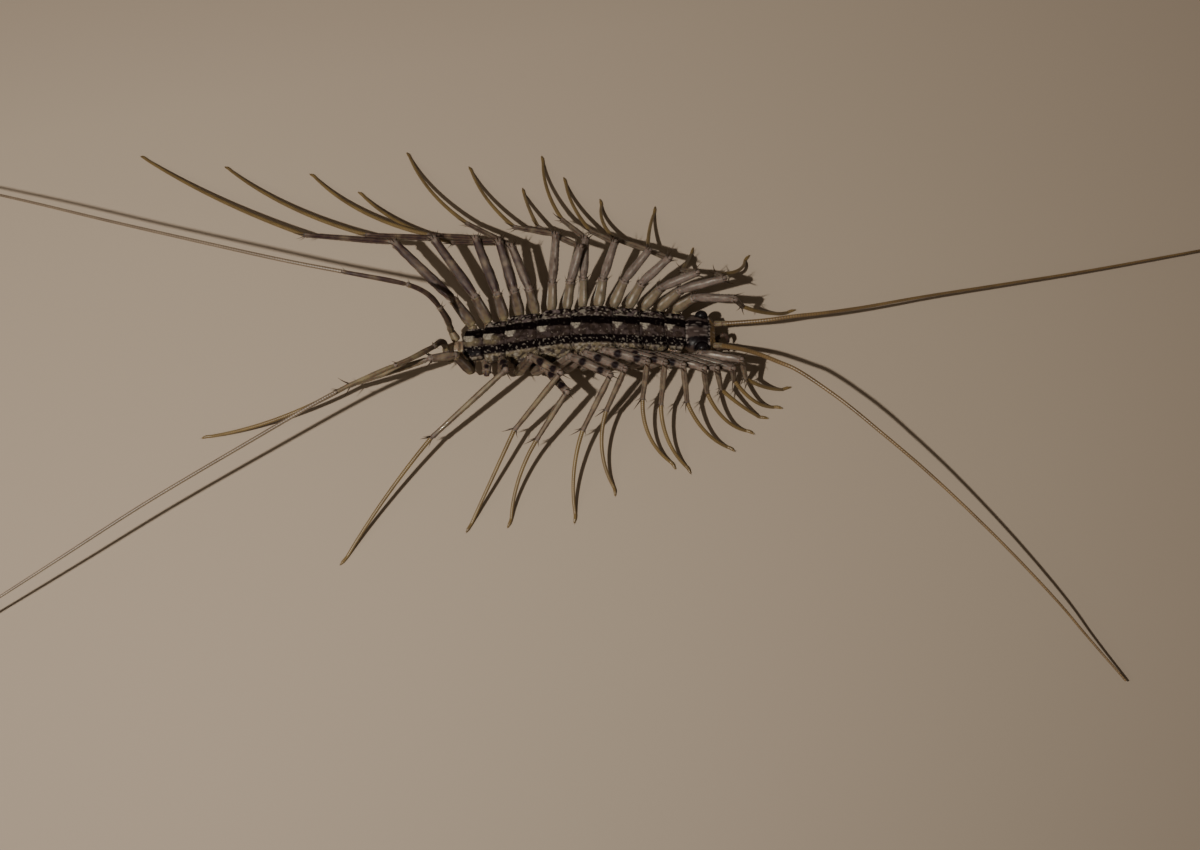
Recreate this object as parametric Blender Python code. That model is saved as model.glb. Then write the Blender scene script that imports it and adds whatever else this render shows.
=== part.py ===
"""House centipede, life size, standing on a level floor with its head towards +X.

Lengths are written in millimetres in the animal's own frame, whose origin is on the floor
under the middle of the body, and become metres when a mesh is made.
"""

import math

import bmesh
import bpy
from mathutils import Matrix, Vector

MM = 0.001

# Clearance between two nodes that meet, and where a leg or an eye meets a rounded face.
GAP = 0.3
ROUND_GAP = 0.38

# Where the middle of the body stands, so that the whole spread of legs is centred.
BODY_MIDDLE = (-0.9, 4.9)

# Body, front to rear.
HEAD_FRONT_X = 12.6
HEAD_REAR_X = 9.6
TRUNK_FRONT_X = HEAD_REAR_X - GAP
TRUNK_REAR_X = -13.2
TELSON_REAR_X = -15.0
BACK_TOP_Z = 5.3
BACK_FALL = 0.0042
BACK_HIGHEST_X = 0.0
BELLY_Z = 2.4
BEND_PEAK_X = 2.5
BEND_PEAK_Y = 0.5
BEND_REAR = (16.5, 1.5)
BEND_FRONT = (10.0, 0.05)
TRUNK_HALF_WIDTH = 2.2
TRUNK_REAR_HALF_WIDTH = 1.0
TRUNK_FRONT_HALF_WIDTH = 1.7
TRUNK_TAPER_POWER = 2.2
TRUNK_SQUARENESS = 0.85
SEGMENT_PINCH = 0.07
STEPS_PER_SEGMENT = 4

# Back plates: rear edges, and half width of each, front plate first.
PLATE_REAR_X = (7.5, 5.0, 2.2, -2.0, -5.4, -8.6, -10.8, -12.8)
PLATE_HALF_WIDTH = (2.1, 2.35, 2.6, 2.9, 2.9, 2.8, 2.4, 1.8)
PLATE_THICKNESS = 0.5
PLATE_CROWN = 0.5
PLATE_REAR_RISE = 0.15
PLATE_ACROSS = (-1.0, -0.88, -0.64, -0.36, -0.14, 0.0, 0.14, 0.36, 0.64, 0.88, 1.0)
PLATE_STEP = 0.45
SADDLE_HEIGHT = 0.14
SADDLE_REACH = 0.16
TOOTH_LENGTH = 0.13

# Leg pairs.
PAIRS = 15
FIRST_LEG_X = 8.8
LEG_SPACING = 1.6
COXA_Z = 3.2
COXA_LENGTH = 0.8
HIP_OUT = 1.15
HIP_Z = 3.6
ANKLE_Z = 4.5
# Place of the elbow between hip and knee, in plan and in height. The left legs change from front to rear.
RIGHT_ELBOW = (0.36, 0.84)
LEFT_FRONT_ELBOW = (0.31, 0.66)
LEFT_REAR_ELBOW = (0.23, 0.47)
FIRST_REAR_PAIR = 7
REAR_CHANGE_SPAN = 5
LEFT_REAR_GIRTH = 1.14
FOOT_FLAT_LENGTH = 0.8
FOOT_RADIUS = 0.2
LEG_SIDES = 6

# Radius of each part of a leg, at its start and its end.
COXA_RADIUS = (0.5, 0.46)
PREFEMUR_RADIUS = (0.5, 0.45)
FEMUR_RADIUS = (0.43, 0.38)
TIBIA_RADIUS = (0.31, 0.27)
TARSUS_RADIUS = (0.25, 0.22)

# Spurs at the far end of the prefemur, femur and tibia: how far each reaches along and out.
SPUR_REACH = ((0.28, 0.03), (0.45, 0.12), (0.6, 0.16))
SPURS_PER_JOINT = 3

# Stance of each leg: knee x, y, z, ankle x, y, foot x, y, sideways bow of the tarsus.
LEFT_STANCE = {
    1: (14.5, 2.0, 8.0, 15.5, 3.5, 21.5, 6.0, -0.5),
    2: (13.5, 4.5, 8.0, 13.0, 7.5, 17.0, 13.0, -0.8),
    3: (10.8, 5.2, 8.0, 9.5, 8.0, 11.0, 14.0, 0.0),
    4: (8.0, 7.0, 8.0, 6.0, 10.5, 7.0, 19.5, 0.2),
    5: (6.0, 8.0, 8.0, 2.5, 12.0, 1.0, 20.5, 0.5),
    6: (2.5, 9.0, 8.0, 0.0, 13.0, -3.0, 23.5, 0.4),
    7: (-0.5, 9.5, 8.0, -3.0, 14.5, -5.5, 26.5, 0.5),
    8: (-1.0, 7.7, 9.0, -5.5, 13.5, -7.5, 22.0, 0.1),
    9: (-3.5, 10.0, 8.0, -8.0, 13.5, -13.5, 25.0, 0.5),
    10: (-8.0, 8.5, 8.0, -13.0, 14.0, -20.5, 27.0, 0.7),
    11: (-9.3, 8.8, 8.5, -14.5, 11.5, -25.5, 21.5, 0.8),
    12: (-11.7, 9.5, 8.0, -17.0, 12.5, -31.0, 24.0, 1.1),
    13: (-16.0, 9.5, 8.0, -23.5, 12.5, -40.5, 25.0, 0.9),
    14: (-20.0, 9.0, 8.0, -30.0, 12.5, -50.0, 26.5, 0.6),
}
RIGHT_STANCE = {
    1: (14.9, -4.4, 6.8, 15.5, -5.2, 20.5, -3.5, -0.4),
    2: (14.05, -5.5, 7.0, 14.3, -5.3, 19.5, -6.0, -0.8),
    3: (12.4, -5.95, 7.7, 13.0, -6.4, 18.0, -7.2, -0.2),
    4: (11.1, -6.4, 8.4, 11.6, -6.8, 16.5, -9.0, -0.8),
    5: (9.1, -6.3, 8.8, 9.6, -7.9, 14.5, -11.0, -0.7),
    6: (7.3, -6.2, 9.2, 7.0, -8.2, 10.0, -13.5, -0.7),
    7: (5.6, -6.3, 9.5, 5.2, -7.6, 8.5, -13.0, -0.9),
    8: (3.4, -7.2, 9.6, 1.6, -8.9, 2.5, -16.0, -0.8),
    9: (2.0, -7.9, 9.6, -0.7, -11.1, -1.5, -19.0, -0.5),
    10: (-2.2, -8.8, 8.0, -5.2, -12.2, -8.0, -19.5, -0.5),
    11: (-2.8, -7.6, 9.5, -7.4, -11.1, -12.0, -20.0, 0.0),
    12: (-8.2, -6.3, 8.0, -15.5, -12.0, -24.0, -23.5, -0.3),
    14: (-15.6, -5.0, 8.0, -24.0, -6.0, -39.0, -9.5, 0.8),
}

# The last pair trails behind the body, clear of the floor.
LEFT_TRAIL = (
    (-14.2, -0.3, 8.0),
    (-15.3, -0.6, 12.0),
    (-16.6, -0.9, 14.2),
    (-18.6, -1.2, 15.7),
    (-22.6, -0.9, 16.6),
    (-29.0, 0.3, 17.0),
    (-37.2, 2.6, 16.8),
    (-46.4, 5.5, 16.2),
    (-55.8, 8.7, 15.4),
    (-66.0, 11.9, 14.6),
)
RIGHT_TRAIL = (
    (-14.6, -2.2, 6.5),
    (-15.4, -4.4, 9.0),
    (-17.3, -6.6, 10.4),
    (-19.8, -8.3, 11.0),
    (-24.5, -11.0, 11.0),
    (-32.0, -15.6, 10.0),
    (-40.9, -21.3, 8.9),
    (-48.5, -26.4, 7.6),
    (-53.7, -29.8, 6.6),
    (-60.0, -33.9, 5.4),
)
TRAIL_RADIUS = (0.36, 0.25)

# Antennae, base first.
LEFT_ANTENNA = (
    (13.05, 1.5, 4.3),
    (14.7, 1.2, 4.9),
    (17.6, 1.1, 5.5),
    (20.7, 1.5, 5.7),
    (23.8, 2.1, 5.4),
    (28.1, 3.3, 4.7),
    (34.4, 5.0, 4.1),
    (42.9, 6.9, 3.6),
    (52.8, 9.3, 2.8),
    (67.8, 12.9, 2.2),
)
RIGHT_ANTENNA = (
    (12.95, -1.1, 4.3),
    (14.3, -2.6, 6.2),
    (15.9, -4.5, 8.4),
    (18.2, -6.6, 9.9),
    (20.2, -8.0, 10.3),
    (23.9, -11.0, 10.1),
    (27.3, -13.9, 9.4),
    (32.1, -17.8, 7.8),
    (37.9, -23.1, 5.7),
    (43.1, -28.3, 3.6),
    (46.5, -32.0, 1.9),
    (49.6, -35.6, 0.7),
)
ANTENNA_RADIUS = (0.34, 0.25)

# Head: x, half width, top and bottom of its outline from the rear edge to the front.
HEAD_STATIONS = (
    (HEAD_REAR_X, 1.45, 4.7, 3.0),
    (9.95, 1.9, 4.95, 2.75),
    (10.7, 2.15, 5.08, 2.6),
    (11.5, 2.15, 5.0, 2.6),
    (12.05, 1.95, 4.85, 2.7),
    (12.4, 1.65, 4.6, 2.85),
    (HEAD_FRONT_X, 1.1, 4.3, 3.1),
)
HEAD_SQUARENESS = 0.8
EYE_CENTRE = (11.3, 1.95, 4.35)
EYE_RADII = (0.62, 0.5, 0.62)
MOUTH_CENTRE = (12.75, 3.35)
MOUTH_RADII = (0.7, 0.95, 0.16)

# Poison claws and palps, base first: x, distance out from the midline, z.
CLAW_STOPS = (
    (9.2, 0.95, 1.65),
    (10.6, 1.75, 1.5),
    (12.0, 1.65, 1.4),
    (12.9, 1.05, 1.3),
    (13.3, 0.45, 1.35),
)
CLAW_RADII = (0.4, 0.42, 0.34, 0.2, 0.08)
PALP_STOPS = (
    (11.9, 0.55, 2.05),
    (12.9, 0.6, 2.25),
    (13.7, 0.75, 2.7),
    (14.1, 0.6, 2.2),
    (14.2, 0.5, 1.6),
)
PALP_RADII = (0.25, 0.25, 0.25, 0.22, 0.12)

# Tail piece: share of its length and share of its full size at each ring.
TELSON_Z = 3.3
TELSON_HALF_WIDTH = 0.85
TELSON_HALF_HEIGHT = 0.75
TELSON_SHAPE = ((0.0, 1.0), (0.35, 0.92), (0.7, 0.68), (0.92, 0.4), (1.0, 0.2))


def clear_scene():
    for obj in list(bpy.data.objects):
        bpy.data.objects.remove(obj, do_unlink=True)


def make_material(name, colour, roughness):
    material = bpy.data.materials.new(name)
    material.use_nodes = True
    shader = material.node_tree.nodes["Principled BSDF"]
    shader.inputs["Base Color"].default_value = (*colour, 1.0)
    shader.inputs["Roughness"].default_value = roughness
    shader.inputs["Metallic"].default_value = 0.0
    return material


def body_y(x):
    """Sideways place of the body's midline, which arches gently to the left."""
    reach, drop = BEND_FRONT if x > BEND_PEAK_X else BEND_REAR
    turn = min(1.0, abs(x - BEND_PEAK_X) / reach)
    return BEND_PEAK_Y - 0.5 * drop * (1.0 - math.cos(math.pi * turn))


def back_z(x):
    """Height of the top of the back plates along the midline."""
    return BACK_TOP_Z - BACK_FALL * (x - BACK_HIGHEST_X) ** 2


def flank(x):
    """Half width of the trunk."""
    if x > 0:
        share = x / TRUNK_FRONT_X
        end = TRUNK_FRONT_HALF_WIDTH
    else:
        share = x / TRUNK_REAR_X
        end = TRUNK_REAR_HALF_WIDTH
    return TRUNK_HALF_WIDTH + (end - TRUNK_HALF_WIDTH) * min(1.0, share) ** TRUNK_TAPER_POWER


def leg_x(pair):
    return FIRST_LEG_X - LEG_SPACING * (pair - 1)


def rearness(pair, side):
    """0 for the front legs and 1 for the stout rear legs of the left side."""
    if side < 0:
        return 0.0
    return min(1.0, max(0.0, (pair - FIRST_REAR_PAIR) / REAR_CHANGE_SPAN))


def elbow_shares(pair, side):
    if side < 0:
        return RIGHT_ELBOW
    share = rearness(pair, side)
    return [front + (rear - front) * share for front, rear in zip(LEFT_FRONT_ELBOW, LEFT_REAR_ELBOW)]


def raise_points(mesh, rows, points):
    """Raises the middle of some side faces to a point each. points maps (row, side) to the tip."""
    for (row, side), tip in points.items():
        near = rows[row]
        far = rows[row + 1]
        after = (side + 1) % len(near)
        corners = {near[side], near[after], far[after], far[side]}
        face = next(f for f in near[side].link_faces if set(f.verts) == corners)
        poked = bmesh.ops.poke(mesh, faces=[face])
        poked["verts"][0].co = tip * MM


def mesh_object(name, rings, material, points=None):
    """One closed solid through rings of points, with flat ends and with points raised on its sides."""
    mesh = bmesh.new()
    rows = [[mesh.verts.new(Vector(point) * MM) for point in ring] for ring in rings]
    count = len(rows[0])
    for near, far in zip(rows, rows[1:]):
        for i in range(count):
            j = (i + 1) % count
            mesh.faces.new((near[i], near[j], far[j], far[i]))
    mesh.faces.new(list(reversed(rows[0])))
    mesh.faces.new(rows[-1])
    raise_points(mesh, rows, points or {})
    bmesh.ops.recalc_face_normals(mesh, faces=mesh.faces)
    data = bpy.data.meshes.new(name)
    mesh.to_mesh(data)
    mesh.free()
    data.materials.append(material)
    data.shade_smooth()
    data.set_sharp_from_angle(angle=math.radians(50))
    obj = bpy.data.objects.new(name, data)
    bpy.context.collection.objects.link(obj)
    return obj


def tube_rings(points, radii, sides=LEG_SIDES):
    """Rings round a path, turned as little as possible from one to the next, kept above the floor."""
    points = [Vector(point) for point in points]
    rings = []
    up = Vector((0, 0, 1))
    for i, point in enumerate(points):
        before = points[max(i - 1, 0)]
        after = points[min(i + 1, len(points) - 1)]
        along = (after - before).normalized()
        side = along.cross(up).normalized()
        up = side.cross(along)
        ring = []
        for k in range(sides):
            angle = 2 * math.pi * (k + 0.5) / sides
            corner = point + radii[i] * (math.cos(angle) * side + math.sin(angle) * up)
            corner.z = max(corner.z, 0.0)
            ring.append(corner)
        rings.append(ring)
    return rings


def spread(start, end, shares):
    """Points at these shares of the way from start to end."""
    return [start.lerp(end, share) for share in shares]


def smooth_path(stops, steps):
    """Points of a curve through the stops, steps to each stretch."""
    stops = [Vector(stop) for stop in stops]
    padded = [2 * stops[0] - stops[1], *stops, 2 * stops[-1] - stops[-2]]
    points = []
    for a, b, c, d in zip(padded, padded[1:], padded[2:], padded[3:]):
        for step in range(steps):
            t = step / steps
            points.append(
                0.5
                * (
                    2 * b
                    + (c - a) * t
                    + (2 * a - 5 * b + 4 * c - d) * t**2
                    + (3 * b - a - 3 * c + d) * t**3
                )
            )
    return [*points, stops[-1]]


def taper(pair, count):
    return [pair[0] + (pair[1] - pair[0]) * i / (count - 1) for i in range(count)]


def spur_tips(rings, row, onward, reach):
    """Tips of the spurs round one joint, on the faces that the next part of the leg bends away from."""
    near = rings[row]
    far = rings[row + 1]
    count = len(near)
    centre = sum(far, Vector()) / count
    along = (centre - sum(near, Vector()) / count).normalized()
    faces = []
    for side in range(count):
        after = (side + 1) % count
        middle = (near[side] + near[after] + far[side] + far[after]) / 4
        outward = (middle - centre) - (middle - centre).dot(along) * along
        outward.normalize()
        tip = middle + along * reach[0] + outward * reach[1]
        faces.append((outward.dot(onward), side, tip))
    faces.sort(key=lambda face: face[0])
    return {(row, side): tip for _, side, tip in faces[:SPURS_PER_JOINT]}


def leg_root(pair, side):
    """Start of the coxa at the flank, and the hip where the leg turns upwards."""
    x = leg_x(pair)
    start = Vector((x, body_y(x) + side * (flank(x) + ROUND_GAP), COXA_Z))
    return start, start + Vector((0, side * COXA_LENGTH, 0))


def coxa_part(pair, side):
    start, end = leg_root(pair, side)
    return [start, end], list(COXA_RADIUS)


def tarsus_part(ankle, foot, bow):
    """The long whip-like end of a leg, bowed sideways, with its last stretch flat on the floor."""
    foot = Vector((foot[0], foot[1], FOOT_RADIUS * math.cos(math.pi / LEG_SIDES)))
    run = Vector((foot.x - ankle.x, foot.y - ankle.y, 0))
    sideways = Vector((-run.y, run.x, 0)).normalized()
    landing = foot - run.normalized() * FOOT_FLAT_LENGTH
    points = []
    count = 7
    for i in range(1, count + 1):
        share = i / count
        point = ankle.lerp(landing, share)
        points.append(point + sideways * bow * 4 * share * (1 - share))
    points.append(foot)
    radii = taper(TARSUS_RADIUS, count + 1)
    radii[-1] = FOOT_RADIUS
    return points, radii


def build_leg(name, pair, side, stance, material):
    knee_x, knee_y, knee_z, ankle_x, ankle_y, foot_x, foot_y, bow = stance
    points, radii = coxa_part(pair, side)
    hip = Vector((points[-1].x, points[-1].y + side * (HIP_OUT - COXA_LENGTH), HIP_Z))
    knee = Vector((knee_x, knee_y, knee_z))
    ankle = Vector((ankle_x, ankle_y, ANKLE_Z))
    plan_share, rise_share = elbow_shares(pair, side)
    elbow = hip.lerp(knee, plan_share)
    elbow.z = hip.z + (knee.z - hip.z) * rise_share
    girth = 1.0 + (LEFT_REAR_GIRTH - 1.0) * rearness(pair, side)
    joints = []
    foot = Vector((foot_x, foot_y, 0))
    for start, end, beyond, size, stout in (
        (hip, elbow, knee, PREFEMUR_RADIUS, girth),
        (elbow, knee, ankle, FEMUR_RADIUS, girth),
        (knee, ankle, foot, TIBIA_RADIUS, 1.0),
    ):
        shares = (0.06, 0.5, 0.86, 0.94)
        points += spread(start, end, shares)
        radii += [radius * stout for radius in taper(size, len(shares))]
        joints.append((len(points) - 2, (beyond - end).normalized()))
    more_points, more_radii = tarsus_part(ankle, foot, bow)
    points += more_points
    radii += more_radii
    rings = tube_rings(points, radii)
    spurs = {}
    for (row, onward), reach in zip(joints, SPUR_REACH):
        spurs.update(spur_tips(rings, row, onward, reach))
    return mesh_object(name, rings, material, spurs)


def build_stub(name, pair, side, material):
    """The rounded coxa and trochanter left where a leg was shed."""
    points, radii = coxa_part(pair, side)
    end = points[-1]
    points += [end + Vector((0, side * 0.35, -0.05)), end + Vector((0, side * 0.55, -0.1))]
    radii += [0.36, 0.16]
    return mesh_object(name, tube_rings(points, radii), material)


def build_trail(name, side, stops, material):
    start, end = leg_root(PAIRS, side)
    start.z += 0.4
    end = start + Vector((-0.5, side * 0.35, 0.5))
    points = smooth_path([start, end, *stops], 3)
    return mesh_object(name, tube_rings(points, taper(TRAIL_RADIUS, len(points))), material)


def build_antenna(name, stops, material):
    points = smooth_path(stops, 3)
    return mesh_object(name, tube_rings(points, taper(ANTENNA_RADIUS, len(points))), material)


def oval(x, y, z, half_width, half_height, sides, squareness):
    """A ring across the body at x, between a round and a square outline."""
    ring = []
    for k in range(sides):
        angle = 2 * math.pi * (k + 0.5) / sides
        across = math.copysign(abs(math.cos(angle)) ** squareness, math.cos(angle))
        upward = math.copysign(abs(math.sin(angle)) ** squareness, math.sin(angle))
        ring.append((x, y + half_width * across, z + half_height * upward))
    return ring


def build_trunk(material):
    """The soft body between the plates and the legs, pinched a little between segments."""
    rings = []
    steps = STEPS_PER_SEGMENT * (PAIRS - 1)
    for i in range(steps + 1):
        x = TRUNK_FRONT_X + (TRUNK_REAR_X - TRUNK_FRONT_X) * i / steps
        pinch = 1.0 - SEGMENT_PINCH * (i % STEPS_PER_SEGMENT == 2)
        top = back_z(x) - PLATE_THICKNESS - GAP
        middle = 0.5 * (top + BELLY_Z)
        width = flank(x) * pinch
        rings.append(oval(x, body_y(x), middle, width, top - middle, 12, TRUNK_SQUARENESS))
    return mesh_object("trunk", rings, material)


def plate_outline(share):
    """Half width of a plate as a share of its largest, from its front edge at 0 to its rear edge at 1."""
    front = 1.0 - 0.24 * max(0.0, 1.0 - share / 0.25) ** 2
    rear = 1.0 - 0.26 * max(0.0, (share - 0.75) / 0.25) ** 2
    return min(front, rear)


def build_plate(index, material):
    """One back plate: a shallow arch with toothed sides, and a low saddle at its rear edge."""
    front = TRUNK_FRONT_X if index == 0 else PLATE_REAR_X[index - 1] - GAP
    rear = PLATE_REAR_X[index]
    half_width = PLATE_HALF_WIDTH[index]
    steps = max(4, round((front - rear) / PLATE_STEP))
    rings = []
    teeth = {}
    across = len(PLATE_ACROSS)
    for i in range(steps + 1):
        share = i / steps
        x = front + (rear - front) * share
        narrow = plate_outline(share)
        rise = PLATE_REAR_RISE * share
        top = []
        under = []
        for reach in PLATE_ACROSS:
            y = body_y(x) + half_width * narrow * reach
            z = back_z(x) + rise - PLATE_CROWN * (reach * narrow) ** 2
            saddle = SADDLE_HEIGHT * math.exp(-((reach / SADDLE_REACH) ** 2)) * share**3
            edge = 1 - 0.35 * reach**4
            top.append(Vector((x, y, z + saddle)))
            under.append(Vector((x, y, z - PLATE_THICKNESS * edge)))
        rings.append(top + list(reversed(under)))
    for row in range(steps):
        for start, end, outward in ((across - 1, across, 1), (2 * across - 1, 0, -1)):
            corners = (rings[row][start], rings[row][end], rings[row + 1][start], rings[row + 1][end])
            middle = sum(corners, Vector()) / 4
            teeth[(row, start)] = middle + Vector((-0.5 * TOOTH_LENGTH, outward * TOOTH_LENGTH, 0))
    return mesh_object(f"tergite_{index + 1}", rings, material, teeth)


def build_head(material, eye_material):
    rings = []
    for x, half_width, top, bottom in HEAD_STATIONS:
        middle = 0.5 * (top + bottom)
        rings.append(oval(x, body_y(x), middle, half_width, top - middle, 14, HEAD_SQUARENESS))
    head = mesh_object("head", rings, material)
    mouth_x, mouth_z = MOUTH_CENTRE
    mouth = Vector((mouth_x, body_y(mouth_x), mouth_z))
    cut(head, ellipsoid("mouth", mouth, MOUTH_RADII, 12, 6, material))
    for side, word in ((1, "left"), (-1, "right")):
        x, y, z = EYE_CENTRE
        centre = Vector((x, body_y(x) + side * y, z))
        socket = ellipsoid("socket", centre, [radius + ROUND_GAP for radius in EYE_RADII], 10, 6, material)
        cut(head, socket)
        ellipsoid(f"eye_{word}", centre, EYE_RADII, 14, 8, eye_material)
    return head


def ellipsoid(name, centre, radii, around, rows, material):
    data = bpy.data.meshes.new(name)
    mesh = bmesh.new()
    size = Matrix.Diagonal((*[radius * MM for radius in radii], 1.0))
    place = Matrix.Translation(centre * MM)
    bmesh.ops.create_uvsphere(mesh, u_segments=around, v_segments=rows, radius=1.0, matrix=place @ size)
    mesh.to_mesh(data)
    mesh.free()
    data.materials.append(material)
    data.shade_smooth()
    obj = bpy.data.objects.new(name, data)
    bpy.context.collection.objects.link(obj)
    return obj


def cut(obj, cutter):
    """Takes the cutter's shape out of obj, then removes the cutter."""
    modifier = obj.modifiers.new("cut", "BOOLEAN")
    modifier.operation = "DIFFERENCE"
    modifier.solver = "EXACT"
    modifier.object = cutter
    bpy.context.view_layer.update()
    evaluated = obj.evaluated_get(bpy.context.evaluated_depsgraph_get())
    result = bpy.data.meshes.new_from_object(evaluated)
    obj.modifiers.remove(modifier)
    obj.data = result
    bpy.data.objects.remove(cutter, do_unlink=True)


def build_mouthparts(material):
    middle = body_y(HEAD_FRONT_X)
    for side, word in ((1, "left"), (-1, "right")):
        for name, stops, radii, sides in (
            ("forcipule", CLAW_STOPS, CLAW_RADII, 8),
            ("palp", PALP_STOPS, PALP_RADII, 6),
        ):
            path = [(x, middle + side * out, z) for x, out, z in stops]
            mesh_object(f"{name}_{word}", tube_rings(path, radii, sides), material)


def build_telson(material):
    rings = []
    front = TRUNK_REAR_X - GAP
    for share, size in TELSON_SHAPE:
        x = front + (TELSON_REAR_X - front) * share
        half_width = TELSON_HALF_WIDTH * size
        half_height = TELSON_HALF_HEIGHT * size
        rings.append(oval(x, body_y(x), TELSON_Z, half_width, half_height, 12, 0.9))
    return mesh_object("telson", rings, material)


def build_legs(material):
    for side, word, stances, trail in (
        (1, "left", LEFT_STANCE, LEFT_TRAIL),
        (-1, "right", RIGHT_STANCE, RIGHT_TRAIL),
    ):
        for pair in range(1, PAIRS):
            name = f"leg_{word}_{pair:02d}"
            if pair in stances:
                build_leg(name, pair, side, stances[pair], material)
            else:
                build_stub(name, pair, side, material)
        build_trail(f"leg_{word}_{PAIRS}", side, trail, material)


def build_centipede():
    clear_scene()
    skin = make_material("soft_skin", (0.30, 0.24, 0.16), 0.5)
    plate = make_material("back_plate", (0.16, 0.12, 0.10), 0.4)
    capsule = make_material("head_capsule", (0.25, 0.17, 0.11), 0.4)
    eye = make_material("compound_eye", (0.01, 0.01, 0.01), 0.25)
    limb = make_material("limb", (0.35, 0.24, 0.12), 0.4)
    feeler = make_material("feeler", (0.38, 0.20, 0.07), 0.4)
    build_trunk(skin)
    for index in range(len(PLATE_REAR_X)):
        build_plate(index, plate)
    build_head(capsule, eye)
    build_mouthparts(capsule)
    build_telson(skin)
    build_legs(limb)
    build_antenna("antenna_left", LEFT_ANTENNA, feeler)
    build_antenna("antenna_right", RIGHT_ANTENNA, feeler)
    stand = bpy.data.objects.new("house_centipede", None)
    bpy.context.collection.objects.link(stand)
    stand.location = (BODY_MIDDLE[0] * MM, BODY_MIDDLE[1] * MM, 0.0)
    for obj in list(bpy.context.collection.objects):
        if obj is not stand:
            obj.parent = stand


build_centipede()
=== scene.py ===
import math

import bmesh
import bpy
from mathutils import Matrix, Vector, noise


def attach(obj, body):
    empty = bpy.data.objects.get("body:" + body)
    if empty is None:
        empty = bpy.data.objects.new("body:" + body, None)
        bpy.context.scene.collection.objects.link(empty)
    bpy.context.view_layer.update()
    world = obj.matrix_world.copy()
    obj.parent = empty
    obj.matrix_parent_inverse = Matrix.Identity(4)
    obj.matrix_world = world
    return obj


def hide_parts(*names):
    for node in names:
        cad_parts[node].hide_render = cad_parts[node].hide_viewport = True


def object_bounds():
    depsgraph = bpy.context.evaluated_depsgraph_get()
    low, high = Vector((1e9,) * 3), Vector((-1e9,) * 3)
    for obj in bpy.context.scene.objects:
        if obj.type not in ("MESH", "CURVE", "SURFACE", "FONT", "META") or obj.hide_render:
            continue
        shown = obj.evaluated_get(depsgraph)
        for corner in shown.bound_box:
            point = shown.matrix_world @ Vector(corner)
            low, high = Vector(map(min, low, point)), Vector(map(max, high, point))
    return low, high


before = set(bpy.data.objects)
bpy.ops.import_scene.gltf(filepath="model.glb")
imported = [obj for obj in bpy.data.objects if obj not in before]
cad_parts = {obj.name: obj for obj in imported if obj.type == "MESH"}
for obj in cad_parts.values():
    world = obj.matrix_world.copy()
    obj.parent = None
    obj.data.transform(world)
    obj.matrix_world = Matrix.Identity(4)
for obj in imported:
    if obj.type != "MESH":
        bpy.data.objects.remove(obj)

CAD_BOX = [list(corner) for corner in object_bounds()]

# Lengths are millimetres in the animal's own frame, until a piece is built in metres in the CAD's frame.
# X runs to the head, Y to the animal's left and Z up.
MM = 0.001
BODY_MIDDLE = Vector((-0.9, 4.9, 0.0))

# Body, the same numbers as the solids have.
HEAD_REAR_X = 9.6
HEAD_FRONT_X = 12.6
TRUNK_FRONT_X = 9.3
TRUNK_REAR_X = -13.2
TELSON_REAR_X = -15.0
TELSON_Z = 3.3
BACK_TOP_Z = 5.3
BACK_FALL = 0.0042
BELLY_Z = 2.4
BEND_PEAK_X = 2.5
BEND_PEAK_Y = 0.5
BEND_REAR = (16.5, 1.5)
BEND_FRONT = (10.0, 0.05)
TRUNK_HALF_WIDTH = 2.2
TRUNK_REAR_HALF_WIDTH = 1.0
TRUNK_FRONT_HALF_WIDTH = 1.7
TRUNK_TAPER_POWER = 2.2
ROUND_GAP = 0.38

PLATE_REAR_X = (7.5, 5.0, 2.2, -2.0, -5.4, -8.6, -10.8, -12.8)
PLATE_HALF_WIDTH = (2.1, 2.35, 2.6, 2.9, 2.9, 2.8, 2.4, 1.8)
PLATE_THICKNESS = 0.5
PLATE_CROWN = 0.5
PLATE_REAR_RISE = 0.15
SADDLE_HEIGHT = 0.14
PLATE_CELL = 0.055

STRIPE_PLACE = 1.12
STRIPE_HALF_WIDTH = 0.5

# Legs. Radii are at the near and the far end.
PAIRS = 15
FIRST_LEG_X = 8.8
LEG_SPACING = 1.6
COXA_Z = 3.2
COXA_LENGTH = 0.8
HIP_OUT = 1.15
HIP_Z = 3.6
ANKLE_Z = 4.5
RIGHT_ELBOW = (0.36, 0.84)
LEFT_FRONT_ELBOW = (0.31, 0.66)
LEFT_REAR_ELBOW = (0.23, 0.47)
FIRST_REAR_PAIR = 7
REAR_CHANGE_SPAN = 5
LEFT_REAR_GIRTH = 1.14
PREFEMUR_RADII = (0.55, 0.48)
LEFT_FRONT_PREFEMUR_RADII = (0.62, 0.52)
FEMUR_RADII = (0.48, 0.42)
TIBIA_RADII = (0.32, 0.26)
TARSUS_RADII = (0.225, 0.155)
TIP_RADIUS = 0.09
FOOT_FLAT_LENGTH = 0.8
TRAIL_STEPS = 40
TRAIL_STEPS_IN_COXA = 60
TRAIL_PART_ENDS = (0.0, 0.075, 0.165, 0.27)
TRAIL_PART_RADII = ((0.36, 0.3), (0.29, 0.25), (0.25, 0.21))
TRAIL_TARSUS_RADII = (0.205, 0.12)
FEELER_RADII = (0.265, 0.1)
HIGHEST_SPUR_TIP = CAD_BOX[1][2] / MM - 0.2
HAIR_SPACING = 0.34
FEMUR_SPOTS = ((0.3, 0.46), (0.74, 0.42))

# Radius along one part of a limb as a share of its full size: a rounded start, a swelling and a collar.
PART_PROFILE = (
    (0.0, 0.25), (0.02, 0.6), (0.07, 0.84), (0.3, 1.0), (0.7, 0.92),
    (0.92, 0.88), (0.97, 1.02), (0.99, 0.9), (1.0, 0.4),
)
RIDGES = 5

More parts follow.
